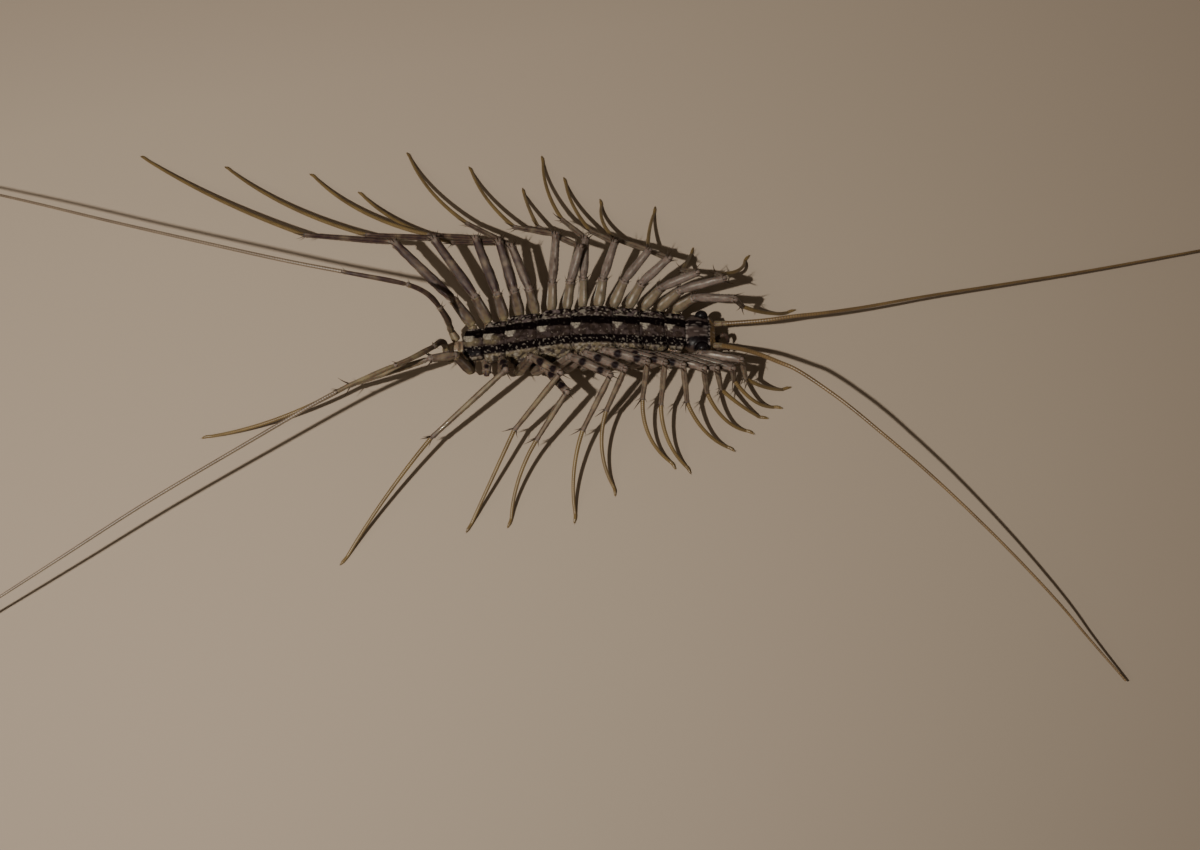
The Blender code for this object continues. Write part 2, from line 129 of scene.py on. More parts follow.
# Stance of each leg: knee x, y, z, ankle x, y, foot x, y, sideways bow of the tarsus.
LEFT_STANCE = {
    1: (14.5, 2.0, 8.0, 15.5, 3.5, 21.5, 6.0, -0.5),
    2: (13.5, 4.5, 8.0, 13.0, 7.5, 17.0, 13.0, -0.8),
    3: (10.8, 5.2, 8.0, 9.5, 8.0, 11.0, 14.0, 0.0),
    4: (8.0, 7.0, 8.0, 6.0, 10.5, 7.0, 19.5, 0.2),
    5: (6.0, 8.0, 8.0, 2.5, 12.0, 1.0, 20.5, 0.5),
    6: (2.5, 9.0, 8.0, 0.0, 13.0, -3.0, 23.5, 0.4),
    7: (-0.5, 9.5, 8.0, -3.0, 14.5, -5.5, 26.5, 0.5),
    8: (-1.0, 7.7, 9.0, -5.5, 13.5, -7.5, 22.0, 0.1),
    9: (-3.5, 10.0, 8.0, -8.0, 13.5, -13.5, 25.0, 0.5),
    10: (-8.0, 8.5, 8.0, -13.0, 14.0, -20.5, 27.0, 0.7),
    11: (-9.3, 8.8, 8.5, -14.5, 11.5, -25.5, 21.5, 0.8),
    12: (-11.7, 9.5, 8.0, -17.0, 12.5, -31.0, 24.0, 1.1),
    13: (-16.0, 9.5, 8.0, -23.5, 12.5, -40.5, 25.0, 0.9),
    14: (-20.0, 9.0, 8.0, -30.0, 12.5, -50.0, 26.5, 0.6),
}
RIGHT_STANCE = {
    1: (14.9, -4.4, 6.8, 15.5, -5.2, 20.5, -3.5, -0.4),
    2: (14.05, -5.5, 7.0, 14.3, -5.3, 19.5, -6.0, -0.8),
    3: (12.4, -5.95, 7.7, 13.0, -6.4, 18.0, -7.2, -0.2),
    4: (11.1, -6.4, 8.4, 11.6, -6.8, 16.5, -9.0, -0.8),
    5: (9.1, -6.3, 8.8, 9.6, -7.9, 14.5, -11.0, -0.7),
    6: (7.3, -6.2, 9.2, 7.0, -8.2, 10.0, -13.5, -0.7),
    7: (5.6, -6.3, 9.5, 5.2, -7.6, 8.5, -13.0, -0.9),
    8: (3.4, -7.2, 9.6, 1.6, -8.9, 2.5, -16.0, -0.8),
    9: (2.0, -7.9, 9.6, -0.7, -11.1, -1.5, -19.0, -0.5),
    10: (-2.2, -8.8, 8.0, -5.2, -12.2, -8.0, -19.5, -0.5),
    11: (-2.8, -7.6, 9.5, -7.4, -11.1, -12.0, -20.0, 0.0),
    12: (-8.2, -6.3, 8.0, -15.5, -12.0, -24.0, -23.5, -0.3),
    14: (-15.6, -5.0, 8.0, -24.0, -6.0, -39.0, -9.5, 0.8),
}

# Stops of the trailing legs and of the antennae, from the body outwards.
LEFT_TRAIL = (
    (-14.2, -0.3, 8.0), (-15.3, -0.6, 12.0), (-16.6, -0.9, 14.2), (-18.6, -1.2, 15.7), (-22.6, -0.9, 16.6),
    (-29.0, 0.3, 17.0), (-37.2, 2.6, 16.8), (-46.4, 5.5, 16.2), (-55.8, 8.7, 15.4), (-66.0, 11.9, 14.6),
)
RIGHT_TRAIL = (
    (-14.6, -2.2, 6.5), (-15.4, -4.4, 9.0), (-17.3, -6.6, 10.4), (-19.8, -8.3, 11.0), (-24.5, -11.0, 11.0),
    (-32.0, -15.6, 10.0), (-40.9, -21.3, 8.9), (-48.5, -26.4, 7.6), (-53.7, -29.8, 6.6), (-60.0, -33.9, 5.4),
)
LEFT_ANTENNA = (
    (13.05, 1.5, 4.3), (14.7, 1.2, 4.9), (17.6, 1.1, 5.5), (20.7, 1.5, 5.7), (23.8, 2.1, 5.4),
    (28.1, 3.3, 4.7), (34.4, 5.0, 4.1), (42.9, 6.9, 3.6), (52.8, 9.3, 2.8), (67.8, 12.9, 2.2),
)
RIGHT_ANTENNA = (
    (12.95, -1.1, 4.3), (14.3, -2.6, 6.2), (15.9, -4.5, 8.4), (18.2, -6.6, 9.9), (20.2, -8.0, 10.3),
    (23.9, -11.0, 10.1), (27.3, -13.9, 9.4), (32.1, -17.8, 7.8), (37.9, -23.1, 5.7), (43.1, -28.3, 3.6),
    (46.5, -32.0, 1.9), (49.6, -35.6, 0.7),
)

# Skin of the body. A collar stands round each leg root, and ends at COLLAR_EDGE times COLLAR_SIZE.
SKIN_ROWS = 400
SKIN_SIDES = 88
COLLAR_SIZE = (0.6, 0.62)
COLLAR_EDGE = 1.35
COLLAR_RISE = 0.34

# Head: x, half width, top and bottom of each station.
HEAD_STATIONS = (
    (9.6, 1.45, 4.7, 3.0),
    (9.95, 1.9, 4.95, 2.75),
    (10.7, 2.15, 5.08, 2.6),
    (11.5, 2.15, 5.0, 2.6),
    (12.05, 1.95, 4.85, 2.7),
    (12.4, 1.65, 4.6, 2.85),
    (12.6, 1.1, 4.3, 3.1),
)
HEAD_CAPS = ((0.03, 0.9), (0.05, 0.75), (0.065, 0.55), (0.075, 0.3))
HEAD_ROWS = 120
HEAD_SIDES = 120
SEAM_FORK_X = 11.4
SHIELD_X = 12.02
BROW_X = 12.15
SOCKET_OUT = 1.28
SOCKET_Z = 4.25
LIP_Z = 3.62
MOUTH_Z = 3.42
CHIN_Z = 3.2
EYE_CENTRE = (11.3, 1.95, 4.35)
EYE_RADII = (0.64, 0.54, 0.62)

# Stops, radii and tones of the mouthparts, with collars where their joints are.
POISON_CLAW = {
    "stops": (
        (9.2, 0.95, 1.65), (10.6, 1.75, 1.5), (12.0, 1.65, 1.4), (12.9, 1.05, 1.3), (13.3, 0.45, 1.35),
    ),
    "radii": ((0.0, 0.3), (0.06, 0.4), (0.3, 0.42), (0.55, 0.35), (0.8, 0.2), (0.95, 0.09), (1.0, 0.03)),
    "tones": ((0.0, 0.2), (0.6, 0.3), (0.82, 0.6), (1.0, 1.0)),
    "collars": (0.3, 0.52, 0.66),
    "sides": 20,
    "steps": 14,
}
PALP = {
    "stops": ((11.9, 0.55, 2.05), (12.9, 0.6, 2.25), (13.7, 0.75, 2.7), (14.1, 0.6, 2.2), (14.2, 0.5, 1.6)),
    "radii": ((0.0, 0.18), (0.1, 0.23), (0.4, 0.22), (0.7, 0.2), (0.92, 0.13), (1.0, 0.05)),
    # Dark tones as painted shade: the palps are coloured as dark as the shadow under the head that they sit
    # in.
    "tones": ((0.0, 0.5), (1.0, 0.85)),
    "collars": (0.25, 0.5, 0.75),
    "sides": 14,
    "steps": 12,
}

# Camera and light in metres, worked out from the animal and its shadows.
VIEW_TARGET = Vector((0.0001, -0.003, 0.0))
VIEW_DISTANCE = 0.17
VIEW_ELEVATION = 60.0
VIEW_LENS = 50.5
LAMP_PLACE = Vector((-0.0469, -0.0858, 0.1484))
LAMP_POWER = 1.27
LAMP_RADIUS = 0.0016
PANEL_PLACE = Vector((-0.2, -0.22, 0.3))
PANEL_SIZE = (0.3, 0.16)
PANEL_POWER = 0.22
SKY_COLOUR = (1.0, 0.8, 0.6, 1.0)
SKY_STRENGTH = 0.075
FLOOR_REACH = 3.0

# Bright, dark and joint colours of what is ringed.
TARSUS_COLOURS = ((0.2, 0.135, 0.05), (0.135, 0.088, 0.034), (0.07, 0.044, 0.018))
TRAIL_COLOURS = ((0.19, 0.142, 0.096), (0.14, 0.103, 0.07), (0.085, 0.06, 0.042))
FEELER_COLOURS = ((0.18, 0.114, 0.048), (0.118, 0.074, 0.032), (0.064, 0.038, 0.018))

# Numbers at every point of a piece, and the three parts a piece may have, each with a finish.
POINT_MARKS = ("tone", "rosy", "stripe", "cream", "spot", "route", "girth", "reach", "spiny")
COATS = ("Shell", "Rings", "Bristles")


# Nodes, for shapes and for materials.


def add(tree, kind, inputs=None, **settings):
    """A new node. A socket given as an input is linked, any other input is set."""
    node = tree.nodes.new(kind)
    for key, value in settings.items():
        setattr(node, key, value)
    for key, value in (inputs or {}).items():
        if isinstance(value, bpy.types.NodeSocket):
            tree.links.new(value, node.inputs[key])
        else:
            node.inputs[key].default_value = value
    return node


def out(tree, kind, inputs=None, **settings):
    """The first output of a new node."""
    return add(tree, kind, inputs, **settings).outputs[0]


def sums(tree, operation, a, b=0.0, *third):
    """The result of a sum of numbers or sockets."""
    return out(tree, "ShaderNodeMath", dict(enumerate((a, b, *third))), operation=operation)


def times(tree, a, b):
    return sums(tree, "MULTIPLY", a, b)


def mark(tree, name, data_type="FLOAT"):
    return out(tree, "GeometryNodeInputNamedAttribute", {"Name": name}, data_type=data_type)


def keep_mark(tree, geometry, name, value, domain):
    inputs = {"Geometry": geometry, "Name": name, "Value": value}
    return out(tree, "GeometryNodeStoreNamedAttribute", inputs, data_type="FLOAT", domain=domain)


def new_shape_tree(name, sizes, finishes):
    tree = bpy.data.node_groups.new(name, "GeometryNodeTree")
    tree.interface.new_socket("Geometry", in_out="INPUT", socket_type="NodeSocketGeometry")
    for label, value in sizes:
        kind = "NodeSocketInt" if isinstance(value, int) else "NodeSocketFloat"
        tree.interface.new_socket(label, in_out="INPUT", socket_type=kind).default_value = value
    for label in finishes:
        tree.interface.new_socket(label, in_out="INPUT", socket_type="NodeSocketMaterial")
    tree.interface.new_socket("Geometry", in_out="OUTPUT", socket_type="NodeSocketGeometry")
    return tree


def bristle_shape(tree, width):
    """One bristle of length 1 along Z, bent over a little and drawn out to a point."""
    stops = {"Resolution": 3, "Start": (0, 0, 0), "Middle": (0, 0, 0.55), "End": (0.16, 0, 1.0)}
    line = out(tree, "GeometryNodeCurveQuadraticBezier", stops)
    share = add(tree, "GeometryNodeSplineParameter").outputs["Factor"]
    thin = times(tree, width, sums(tree, "SUBTRACT", 1.0, times(tree, share, 0.9)))
    ring = out(tree, "GeometryNodeCurvePrimitiveCircle", {"Resolution": 4, "Radius": 1.0})
    inputs = {"Curve": line, "Profile Curve": ring, "Scale": thin, "Fill Caps": True}
    return keep_mark(tree, out(tree, "GeometryNodeCurveToMesh", inputs), "kind", 2.0, "FACE")


def bristles_on(tree, points, chosen, aim, reach, spike, seed):
    """A bristle on each chosen point, along its aim, turned and sized a little by chance."""
    spin, vary = (
        add(tree, "FunctionNodeRandomValue", {2: low, 3: high, "Seed": seed}, data_type="FLOAT").outputs[1]
        for low, high in ((-0.9, 0.9), (0.75, 1.1))
    )
    turned = out(tree, "FunctionNodeAlignRotationToVector", {"Vector": aim}, axis="Z")
    roll = out(tree, "FunctionNodeAxisAngleToRotation", {"Axis": (0, 0, 1), "Angle": spin})
    inputs = {"Rotation": turned, "Rotate By": roll}
    turned = out(tree, "FunctionNodeRotateRotation", inputs, rotation_space="LOCAL")
    inputs = {"Points": points, "Selection": chosen, "Instance": spike, "Rotation": turned}
    return out(tree, "GeometryNodeInstanceOnPoints", {**inputs, "Scale": times(tree, reach, vary)})


def joined(tree, *branches):
    """The branches as one smooth mesh without instances."""
    meeting = add(tree, "GeometryNodeJoinGeometry")
    for branch in branches:
        tree.links.new(branch, meeting.inputs[0])
    smooth = out(tree, "GeometryNodeSetShadeSmooth", {"Geometry": meeting.outputs[0]})
    return out(tree, "GeometryNodeRealizeInstances", {"Geometry": smooth})


def limb_tree():
    """Keeps the modelled shell, turns routes into ringed tubes and loose points into bristles."""
    sizes = (
        ("Ring Length", 0.0002),
        ("Ring Depth", 0.12),
        ("Ring Sides", 10),
        ("Steps Per Ring", 5),
        ("Bristle Width", 0.07),
        ("Spinules Per Square Metre", 0.0),
        ("Spinule Reach", 0.00012),
        ("Seed", 3),
    )
    tree = new_shape_tree("shell_rings_and_bristles", sizes, COATS)
    given = add(tree, "NodeGroupInput").outputs
    reach = mark(tree, "reach")
    loose = sums(tree, "ADD", mark(tree, "route"), times(tree, reach, 1e6))
    inputs = {"Geometry": given["Geometry"], "Selection": sums(tree, "GREATER_THAN", loose, 0.5)}
    parted = add(tree, "GeometryNodeSeparateGeometry", inputs, domain="POINT")
    shell = parted.outputs["Inverted"]

    lines = out(tree, "GeometryNodeMeshToCurve", {"Mesh": parted.outputs["Selection"]})
    step = sums(tree, "DIVIDE", given["Ring Length"], given["Steps Per Ring"])
    even = out(tree, "GeometryNodeResampleCurve", {"Curve": lines, "Length": step}, mode="LENGTH")
    along = add(tree, "GeometryNodeSplineParameter").outputs["Length"]
    phase = sums(tree, "FRACT", sums(tree, "DIVIDE", along, given["Ring Length"]))
    swell = sums(tree, "POWER", sums(tree, "SINE", times(tree, phase, math.pi)), 0.55)
    even = keep_mark(tree, even, "ring", swell, "POINT")
    hollow = times(tree, sums(tree, "SUBTRACT", 1.0, swell), given["Ring Depth"])
    radius = times(tree, mark(tree, "girth"), sums(tree, "SUBTRACT", 1.0, hollow))
    inputs = {"Resolution": given["Ring Sides"], "Radius": 1.0}
    circle = out(tree, "GeometryNodeCurvePrimitiveCircle", inputs)
    inputs = {"Curve": even, "Profile Curve": circle, "Scale": radius, "Fill Caps": True}
    rings = keep_mark(tree, out(tree, "GeometryNodeCurveToMesh", inputs), "kind", 1.0, "FACE")

    spike = bristle_shape(tree, given["Bristle Width"])
    has_reach = sums(tree, "GREATER_THAN", reach, 1e-6)
    aim = mark(tree, "aim", "FLOAT_VECTOR")
    bristles = bristles_on(tree, given["Geometry"], has_reach, aim, reach, spike, given["Seed"])

    often = times(tree, given["Spinules Per Square Metre"], mark(tree, "spiny"))
    inputs = {"Mesh": shell, "Density": often, "Seed": given["Seed"]}
    strewn = add(tree, "GeometryNodeDistributePointsOnFaces", inputs, distribute_method="RANDOM").outputs
    lean = out(tree, "ShaderNodeVectorMath", {0: strewn["Normal"], 1: (-1.1, 0.0, 0.0)}, operation="ADD")
    spinules = bristles_on(tree, strewn["Points"], True, lean, given["Spinule Reach"], spike, given["Seed"])

    result = joined(tree, spinules, bristles, rings, shell)
    kind = mark(tree, "kind")
    for index, label in enumerate(COATS):
        above = sums(tree, "GREATER_THAN", kind, index - 0.5)
        below = sums(tree, "LESS_THAN", kind, index + 0.5)
        inputs = {"Geometry": result, "Selection": times(tree, above, below), "Material": given[label]}
        result = out(tree, "GeometryNodeSetMaterial", inputs)
    add(tree, "NodeGroupOutput", {"Geometry": result})
    return tree


def facet_tree():
    """Sets a small six-sided lens on every point of an eye and keeps the eye under them."""
    sizes = (("Facet Radius", 0.00006), ("Facet Height", 0.45))
    tree = new_shape_tree("eye_facets", sizes, ("Lens",))
    given = add(tree, "NodeGroupInput").outputs
    radius = given["Facet Radius"]
    lens = out(tree, "GeometryNodeMeshUVSphere", {"Segments": 6, "Rings": 4, "Radius": 1.0})
    normal = out(tree, "GeometryNodeInputNormal")
    turned = out(tree, "FunctionNodeAlignRotationToVector", {"Vector": normal}, axis="Z")
    tall = times(tree, radius, given["Facet Height"])
    size = out(tree, "ShaderNodeCombineXYZ", {0: radius, 1: radius, 2: tall})
    inputs = {"Points": given["Geometry"], "Instance": lens, "Rotation": turned, "Scale": size}
    lenses = out(tree, "GeometryNodeInstanceOnPoints", inputs)
    inputs = {"Geometry": joined(tree, lenses, given["Geometry"]), "Material": given["Lens"]}
    add(tree, "NodeGroupOutput", {"Geometry": out(tree, "GeometryNodeSetMaterial", inputs)})
    return tree


def grown(start, tree, settings):
    """The start object with the plain mesh that the tree makes of it."""
    modifier = start.modifiers.new("shape", "NODES")
    modifier.node_group = tree
    for item in tree.interface.items_tree:
        if item.item_type == "SOCKET" and item.in_out == "INPUT" and item.name in settings:
            modifier[item.identifier] = settings[item.name]
    bpy.context.view_layer.update()
    evaluated = start.evaluated_get(bpy.context.evaluated_depsgraph_get())
    mesh = bpy.data.meshes.new_from_object(evaluated)
    start.modifiers.remove(modifier)
    mesh.name = start.name
    start.data = mesh
    return start


def new_object(name, data):
    obj = bpy.data.objects.new(name, data)
    bpy.context.collection.objects.link(obj)
    return obj


# Points, rings and shells.


class Shape:
    """Shells, routes and bristle roots of one piece, with a number for each mark at each point."""

    def __init__(self):
        self.points = []
        self.edges = []
        self.faces = []
        self.aims = []
        self.marks = {name: [] for name in POINT_MARKS}

    def add_points(self, points, aims=None, **marks):
        first = len(self.points)
        self.points += [Vector(point) for point in points]
        self.aims += aims or [Vector((0, 0, 1))] * len(points)
        for name in POINT_MARKS:
            value = marks.get(name, 0.0)
            self.marks[name] += value if isinstance(value, list) else [value] * len(points)
        return first

    def add_rings(self, rings, **marks):
        """A closed shell through rings, with a pole at each end. A mark is a number, or a list of them."""
        count = len(rings[0])
        first = self.add_points([point for ring in rings for point in ring], **marks)
        last = first + (len(rings) - 1) * count
        for a in range(first, last, count):
            for i in range(count):
                j = (i + 1) % count
                self.faces.append((a + i, a + j, a + count + j, a + count + i))
        for ring, start in ((rings[0], first), (rings[-1], last)):
            own = {name: self.marks[name][start] for name in POINT_MARKS}
            pole = self.add_points([sum(ring, Vector()) / count], **own)
            for i in range(count):
                self.faces.append((start + i, start + (i + 1) % count, pole))

    def add_route(self, points, radii):
        first = self.add_points(points, route=1.0, girth=[radius * MM for radius in radii])
        self.edges += [(first + i, first + i + 1) for i in range(len(points) - 1)]

    def add_bristle(self, point, aim, reach):
        """The root of a bristle, left out where its tip would leave the box of the solids."""
        aim = Vector(aim).normalized()
        tip = (Vector(point) + aim * reach * 1.1 + BODY_MIDDLE) * MM
        if all(low <= value <= high for low, value, high in zip(CAD_BOX[0], tip, CAD_BOX[1])):
            self.add_points([point], aims=[aim], reach=reach * MM)

    def build(self, name):
        mesh = bpy.data.meshes.new(name)
        mesh.from_pydata([(point + BODY_MIDDLE) * MM for point in self.points], self.edges, self.faces)
        for label, values in self.marks.items():
            mesh.attributes.new(label, "FLOAT", "POINT").data.foreach_set("value", values)
        flat = [number for aim in self.aims for number in aim]
        mesh.attributes.new("aim", "FLOAT_VECTOR", "POINT").data.foreach_set("vector", flat)
        turned = bmesh.new()
        turned.from_mesh(mesh)
        bmesh.ops.recalc_face_normals(turned, faces=turned.faces)
        turned.to_mesh(mesh)
        turned.free()
        return new_object(name, mesh)


def mix(a, b, share):
    return a + (b - a) * share


def clamp(value):
    return min(1.0, max(0.0, value))


def ease(low, high, value):
    """0 below low, 1 above high, and smooth between them."""
    share = clamp((value - low) / (high - low))
    return share * share * (3 - 2 * share)


def hump(value, width):
    return math.exp(-((value / width) ** 2))


def table_value(table, share):
    """Value of a table of (share, value) pairs, joined by smooth steps."""
    for (low, a), (high, b) in zip(table, table[1:]):
        if share <= high:
            return mix(a, b, ease(low, high, share))
    return table[-1][1]


def rough(point, scale, seed=0.0):
    """Smooth noise from -1 to 1 with features 1 / scale millimetres across."""
    return noise.noise(Vector(point) * scale + Vector((seed, seed * 1.7, -seed)))


def body_y(x):
    reach, drop = BEND_FRONT if x > BEND_PEAK_X else BEND_REAR
    turn = min(1.0, abs(x - BEND_PEAK_X) / reach)
    return BEND_PEAK_Y - 0.5 * drop * (1.0 - math.cos(math.pi * turn))


def back_z(x):
    return BACK_TOP_Z - BACK_FALL * x**2


def flank(x):
    if x > 0:
        share, end = x / TRUNK_FRONT_X, TRUNK_FRONT_HALF_WIDTH
    else:
        share, end = x / TRUNK_REAR_X, TRUNK_REAR_HALF_WIDTH
    return TRUNK_HALF_WIDTH + (end - TRUNK_HALF_WIDTH) * min(1.0, share) ** TRUNK_TAPER_POWER


def leg_x(pair):
    return FIRST_LEG_X - LEG_SPACING * (pair - 1)


def smooth_path(stops, steps):
    """Points of a curve through the stops, steps to each stretch."""
    stops = [Vector(stop) for stop in stops]
    padded = [2 * stops[0] - stops[1], *stops, 2 * stops[-1] - stops[-2]]
    points = []
    for a, b, c, d in zip(padded, padded[1:], padded[2:], padded[3:]):
        for step in range(steps):
            t = step / steps
            bent = (2 * a - 5 * b + 4 * c - d) * t**2 + (3 * b - a - 3 * c + d) * t**3
            points.append(0.5 * (2 * b + (c - a) * t + bent))
    return [*points, stops[-1]]


def path_frames(points):
    """Direction, side and up at each point of a path, turned as little as possible on the way."""
    frames = []
    up = Vector((0, 0, 1))
    for i in range(len(points)):
        along = (points[min(i + 1, len(points) - 1)] - points[max(i - 1, 0)]).normalized()
        if abs(along.dot(up)) > 0.98:
            up = Vector((1, 0, 0)) if abs(along.x) < 0.9 else Vector((0, 1, 0))
        side = along.cross(up).normalized()
        up = side.cross(along)
        frames.append((along, side, up))
    return frames


def path_lengths(points):
    """Distance from the start of a path to each of its points."""
    lengths = [0.0]
    for a, b in zip(points, points[1:]):
        lengths.append(lengths[-1] + (b - a).length)
    return lengths


def turns(count):
    """Angles spread evenly round a circle."""
    return [2 * math.pi * k / count for k in range(count)]


def spoke(angle, side, up):
    """Direction at an angle round a limb, from its side towards its upper face."""
    return math.cos(angle) * side + math.sin(angle) * up


def note(marks, **values):
    """Adds the marks of one more point, each between 0 and 1."""
    for name, value in values.items():
        marks.setdefault(name, []).append(clamp(value))


# The parts of a limb.


def podomere(
    shape, start, end, radii, tones, hair=0.0, sides=15, rows=34, spots=(), streak=0.0, rosy=0.0
):
    """One hard part of a limb, with ridges along it, a row of bristles on each ridge, and a painted
    highlight: pale streaks painted on the ridges that face up.
    """
    length = (end - start).length
    along, side, up = path_frames([start, end])[0]
    rings = []
    marks = {}
    for row in range(rows):
        share = row / (rows - 1)
        point = start.lerp(end, share)
        size = mix(*radii, share) * table_value(PART_PROFILE, share)
        tone = table_value(tones, share)
        near_joint = 0.85 * max(1.0 - ease(0.02, 0.14, share), ease(0.84, 0.96, share)) if rosy else 0.0
        rise = ease(0.08, 0.3, share)
        fall = ease(0.95, 0.75, share)
        notch = 1.0 + 0.5 * math.sin(2 * math.pi * share * length / 0.22)
        ring = []
        for angle in turns(sides):
            ridge = max(0.0, math.cos(RIDGES * angle)) ** 3
            radius = size * (0.97 + 0.09 * ridge * notch * ease(0.0, 0.15, share))
            corner = point + radius * spoke(angle, side, up)
            ring.append(corner)
            # Painted highlight: how strongly a pale streak is painted on a ridge that faces up, where the
            # lamp would glint.
            lit = ridge * rise * fall * (0.7 + rough(corner, 1.4, 8.0))
            near = min([(corner - centre).length / reach for centre, reach in spots], default=9.0)
            note(
                marks,
                tone=tone + 0.34 * ridge - 0.12 + 0.24 * rough(corner, 2.3, 5.0),
                spot=1.0 - ease(0.75, 1.1, near + 0.2 * rough(corner, 6.0, 2.0)),
                cream=streak * lit * ease(0.1, 0.5, math.sin(angle)),
                rosy=max(rosy, near_joint),
            )
        rings.append(ring)
    shape.add_rings(rings, **marks)
    count = max(2, int(length / HAIR_SPACING)) if hair else 0
    for ridge, angle in enumerate(turns(RIDGES)):
        outward = spoke(angle, side, up)
        for i in range(count):
            share = (i + 0.3 + 0.12 * ridge) / count
            size = mix(*radii, share) * table_value(PART_PROFILE, share)
            shape.add_bristle(start.lerp(end, share) + outward * size, outward * 0.55 + along, hair)


def joint_ball(shape, centre, along, radius):
    """The pale skin that shows between two hard parts at a bend."""
    along = Vector(along).normalized()
    _, side, up = path_frames([centre, centre + along])[0]
    rings = []
    for row in range(7):
        turn = math.pi * (row + 0.5) / 7
        middle = centre - along * radius * math.cos(turn)
        size = radius * math.sin(turn)
        rings.append([middle + size * spoke(angle, side, up) for angle in turns(10)])
    shape.add_rings(rings, tone=0.3, rosy=0.85)


def spurs(shape, start, end, beyond, radius, reaches):
    """Long thin spurs round the far end of a limb part, away from the side it bends to."""
    along = (end - start).normalized()
    away = along - (beyond - end).normalized()
    away -= away.dot(along) * along
    if away.length < 0.05:
        away = along.cross(Vector((0, 0, 1)))
    away.normalize()
    across = along.cross(away)
    for i, reach in enumerate(reaches):
        turn = (i - 0.5 * (len(reaches) - 1)) * 0.95
        outward = spoke(turn, away, across)
        aim = (along * 0.9 + outward * 0.65).normalized()
        root = end - along * 0.12 + outward * radius * 0.85
        room = (HIGHEST_SPUR_TIP - root.z) / max(aim.z, 0.05)
        if room > 0.1:
            shape.add_bristle(root, aim, min(reach, room))


def leg_root(pair, side):
    x = leg_x(pair)
    start = Vector((x, body_y(x) + side * (flank(x) + ROUND_GAP), COXA_Z))
    return start, start + Vector((0, side * COXA_LENGTH, 0))


def tarsus_stops(ankle, foot, bow):
    """Whip-like end of a leg, bowed sideways, with its last stretch flat on the floor."""
    run = Vector((foot.x - ankle.x, foot.y - ankle.y, 0))
    sideways = Vector((-run.y, run.x, 0)).normalized()
    landing = foot - run.normalized() * FOOT_FLAT_LENGTH
    points = [ankle]
    for share in [i / 7 for i in range(1, 8)]:
        points.append(ankle.lerp(landing, share) + sideways * bow * 4 * share * (1 - share))
    return [*points, foot]


def tapered(radii, count):
    """Radii from the first to the last of a whip-like limb part."""
    return [mix(*radii, (i / (count - 1)) ** 0.8) for i in range(count)]


def add_ringed(shape, points, radii, hair, spacing, around=2):
    """A ringed stretch of limb with short hairs along it."""
    shape.add_route(points, radii)
    due = 0.0
    index = 0
    stations = zip(points, radii, path_frames(points), path_lengths(points))
    for point, radius, (along, side, up), travelled in stations:
        while travelled > due:
            for turn in turns(around):
                outward = spoke(index * 1.9 + turn, side, up)
                if point.z > 0.3 or outward.z > -0.2:
                    shape.add_bristle(point + outward * radius * 0.8, along + outward * 0.7, hair)
            index += 1
            due += spacing


def add_tarsus(shape, ankle, foot, bow):
    foot = Vector((*foot, TIP_RADIUS + 0.02))
    points = smooth_path(tarsus_stops(ankle, foot, bow), 12)
    radii = tapered(TARSUS_RADII, len(points))
    for i, point in enumerate(points):
        radii[i] *= 1.0 - 0.45 * ease(0.93, 1.0, i / (len(points) - 1))
        point.z = max(point.z, radii[i] + 0.005)
    add_ringed(shape, points, radii, hair=0.16, spacing=0.2)
    along = (points[-1] - points[-3]).normalized()
    shape.add_bristle(points[-1] - along * 0.03, along + Vector((0, 0, -0.12)), 0.24)


def rearness(pair, side):
    """0 for the front legs and 1 for the stout rear legs of the left side."""
    return clamp((pair - FIRST_REAR_PAIR) / REAR_CHANGE_SPAN) if side > 0 else 0.0


def elbow_shares(pair, side):
    if side < 0:
        return RIGHT_ELBOW
    share = rearness(pair, side)
    return [mix(front, rear, share) for front, rear in zip(LEFT_FRONT_ELBOW, LEFT_REAR_ELBOW)]


def leg_tones(pair, side):
    """How dark the prefemur, femur and tibia of a leg are along their length."""
    rear = ease(7.0, 12.0, pair)
    base = mix(0.12, 0.5, rear)
    deep = mix(0.4, 0.8, rear) if side > 0 else 0.52
    low = mix(0.45, 0.8, rear) if side > 0 else mix(0.44, 0.36, rear)
    thigh = ((0.0, 0.1), (0.3, base), (0.6, base + 0.15), (0.8, base + 0.2), (0.95, base), (1.0, 0.25))
    femur = (
        (0.0, 0.3), (0.12, deep), (0.42, deep), (0.55, deep - 0.25), (0.68, deep), (0.9, deep), (1.0, 0.3)
    )
    tibia = ((0.0, 0.3), (0.12, low), (0.4, low), (0.52, low - 0.3), (0.64, low), (0.9, low), (1.0, 0.35))
    return thigh, femur, tibia


def coxa(shape, pair, side):
    start, end = leg_root(pair, side)
    inner = start + Vector((0, -side * 0.75, 0.05))
    outer = end + Vector((0, side * 0.12, 0))
    spots = [(start.lerp(end, 0.55) + Vector((0, side * 0.05, 0.47)), 0.3)]
    tones = ((0.0, 0.3), (1.0, 0.38))
    podomere(shape, inner, outer, (0.56, 0.5), tones, sides=20, rows=30, spots=spots, rosy=0.5)
    return end


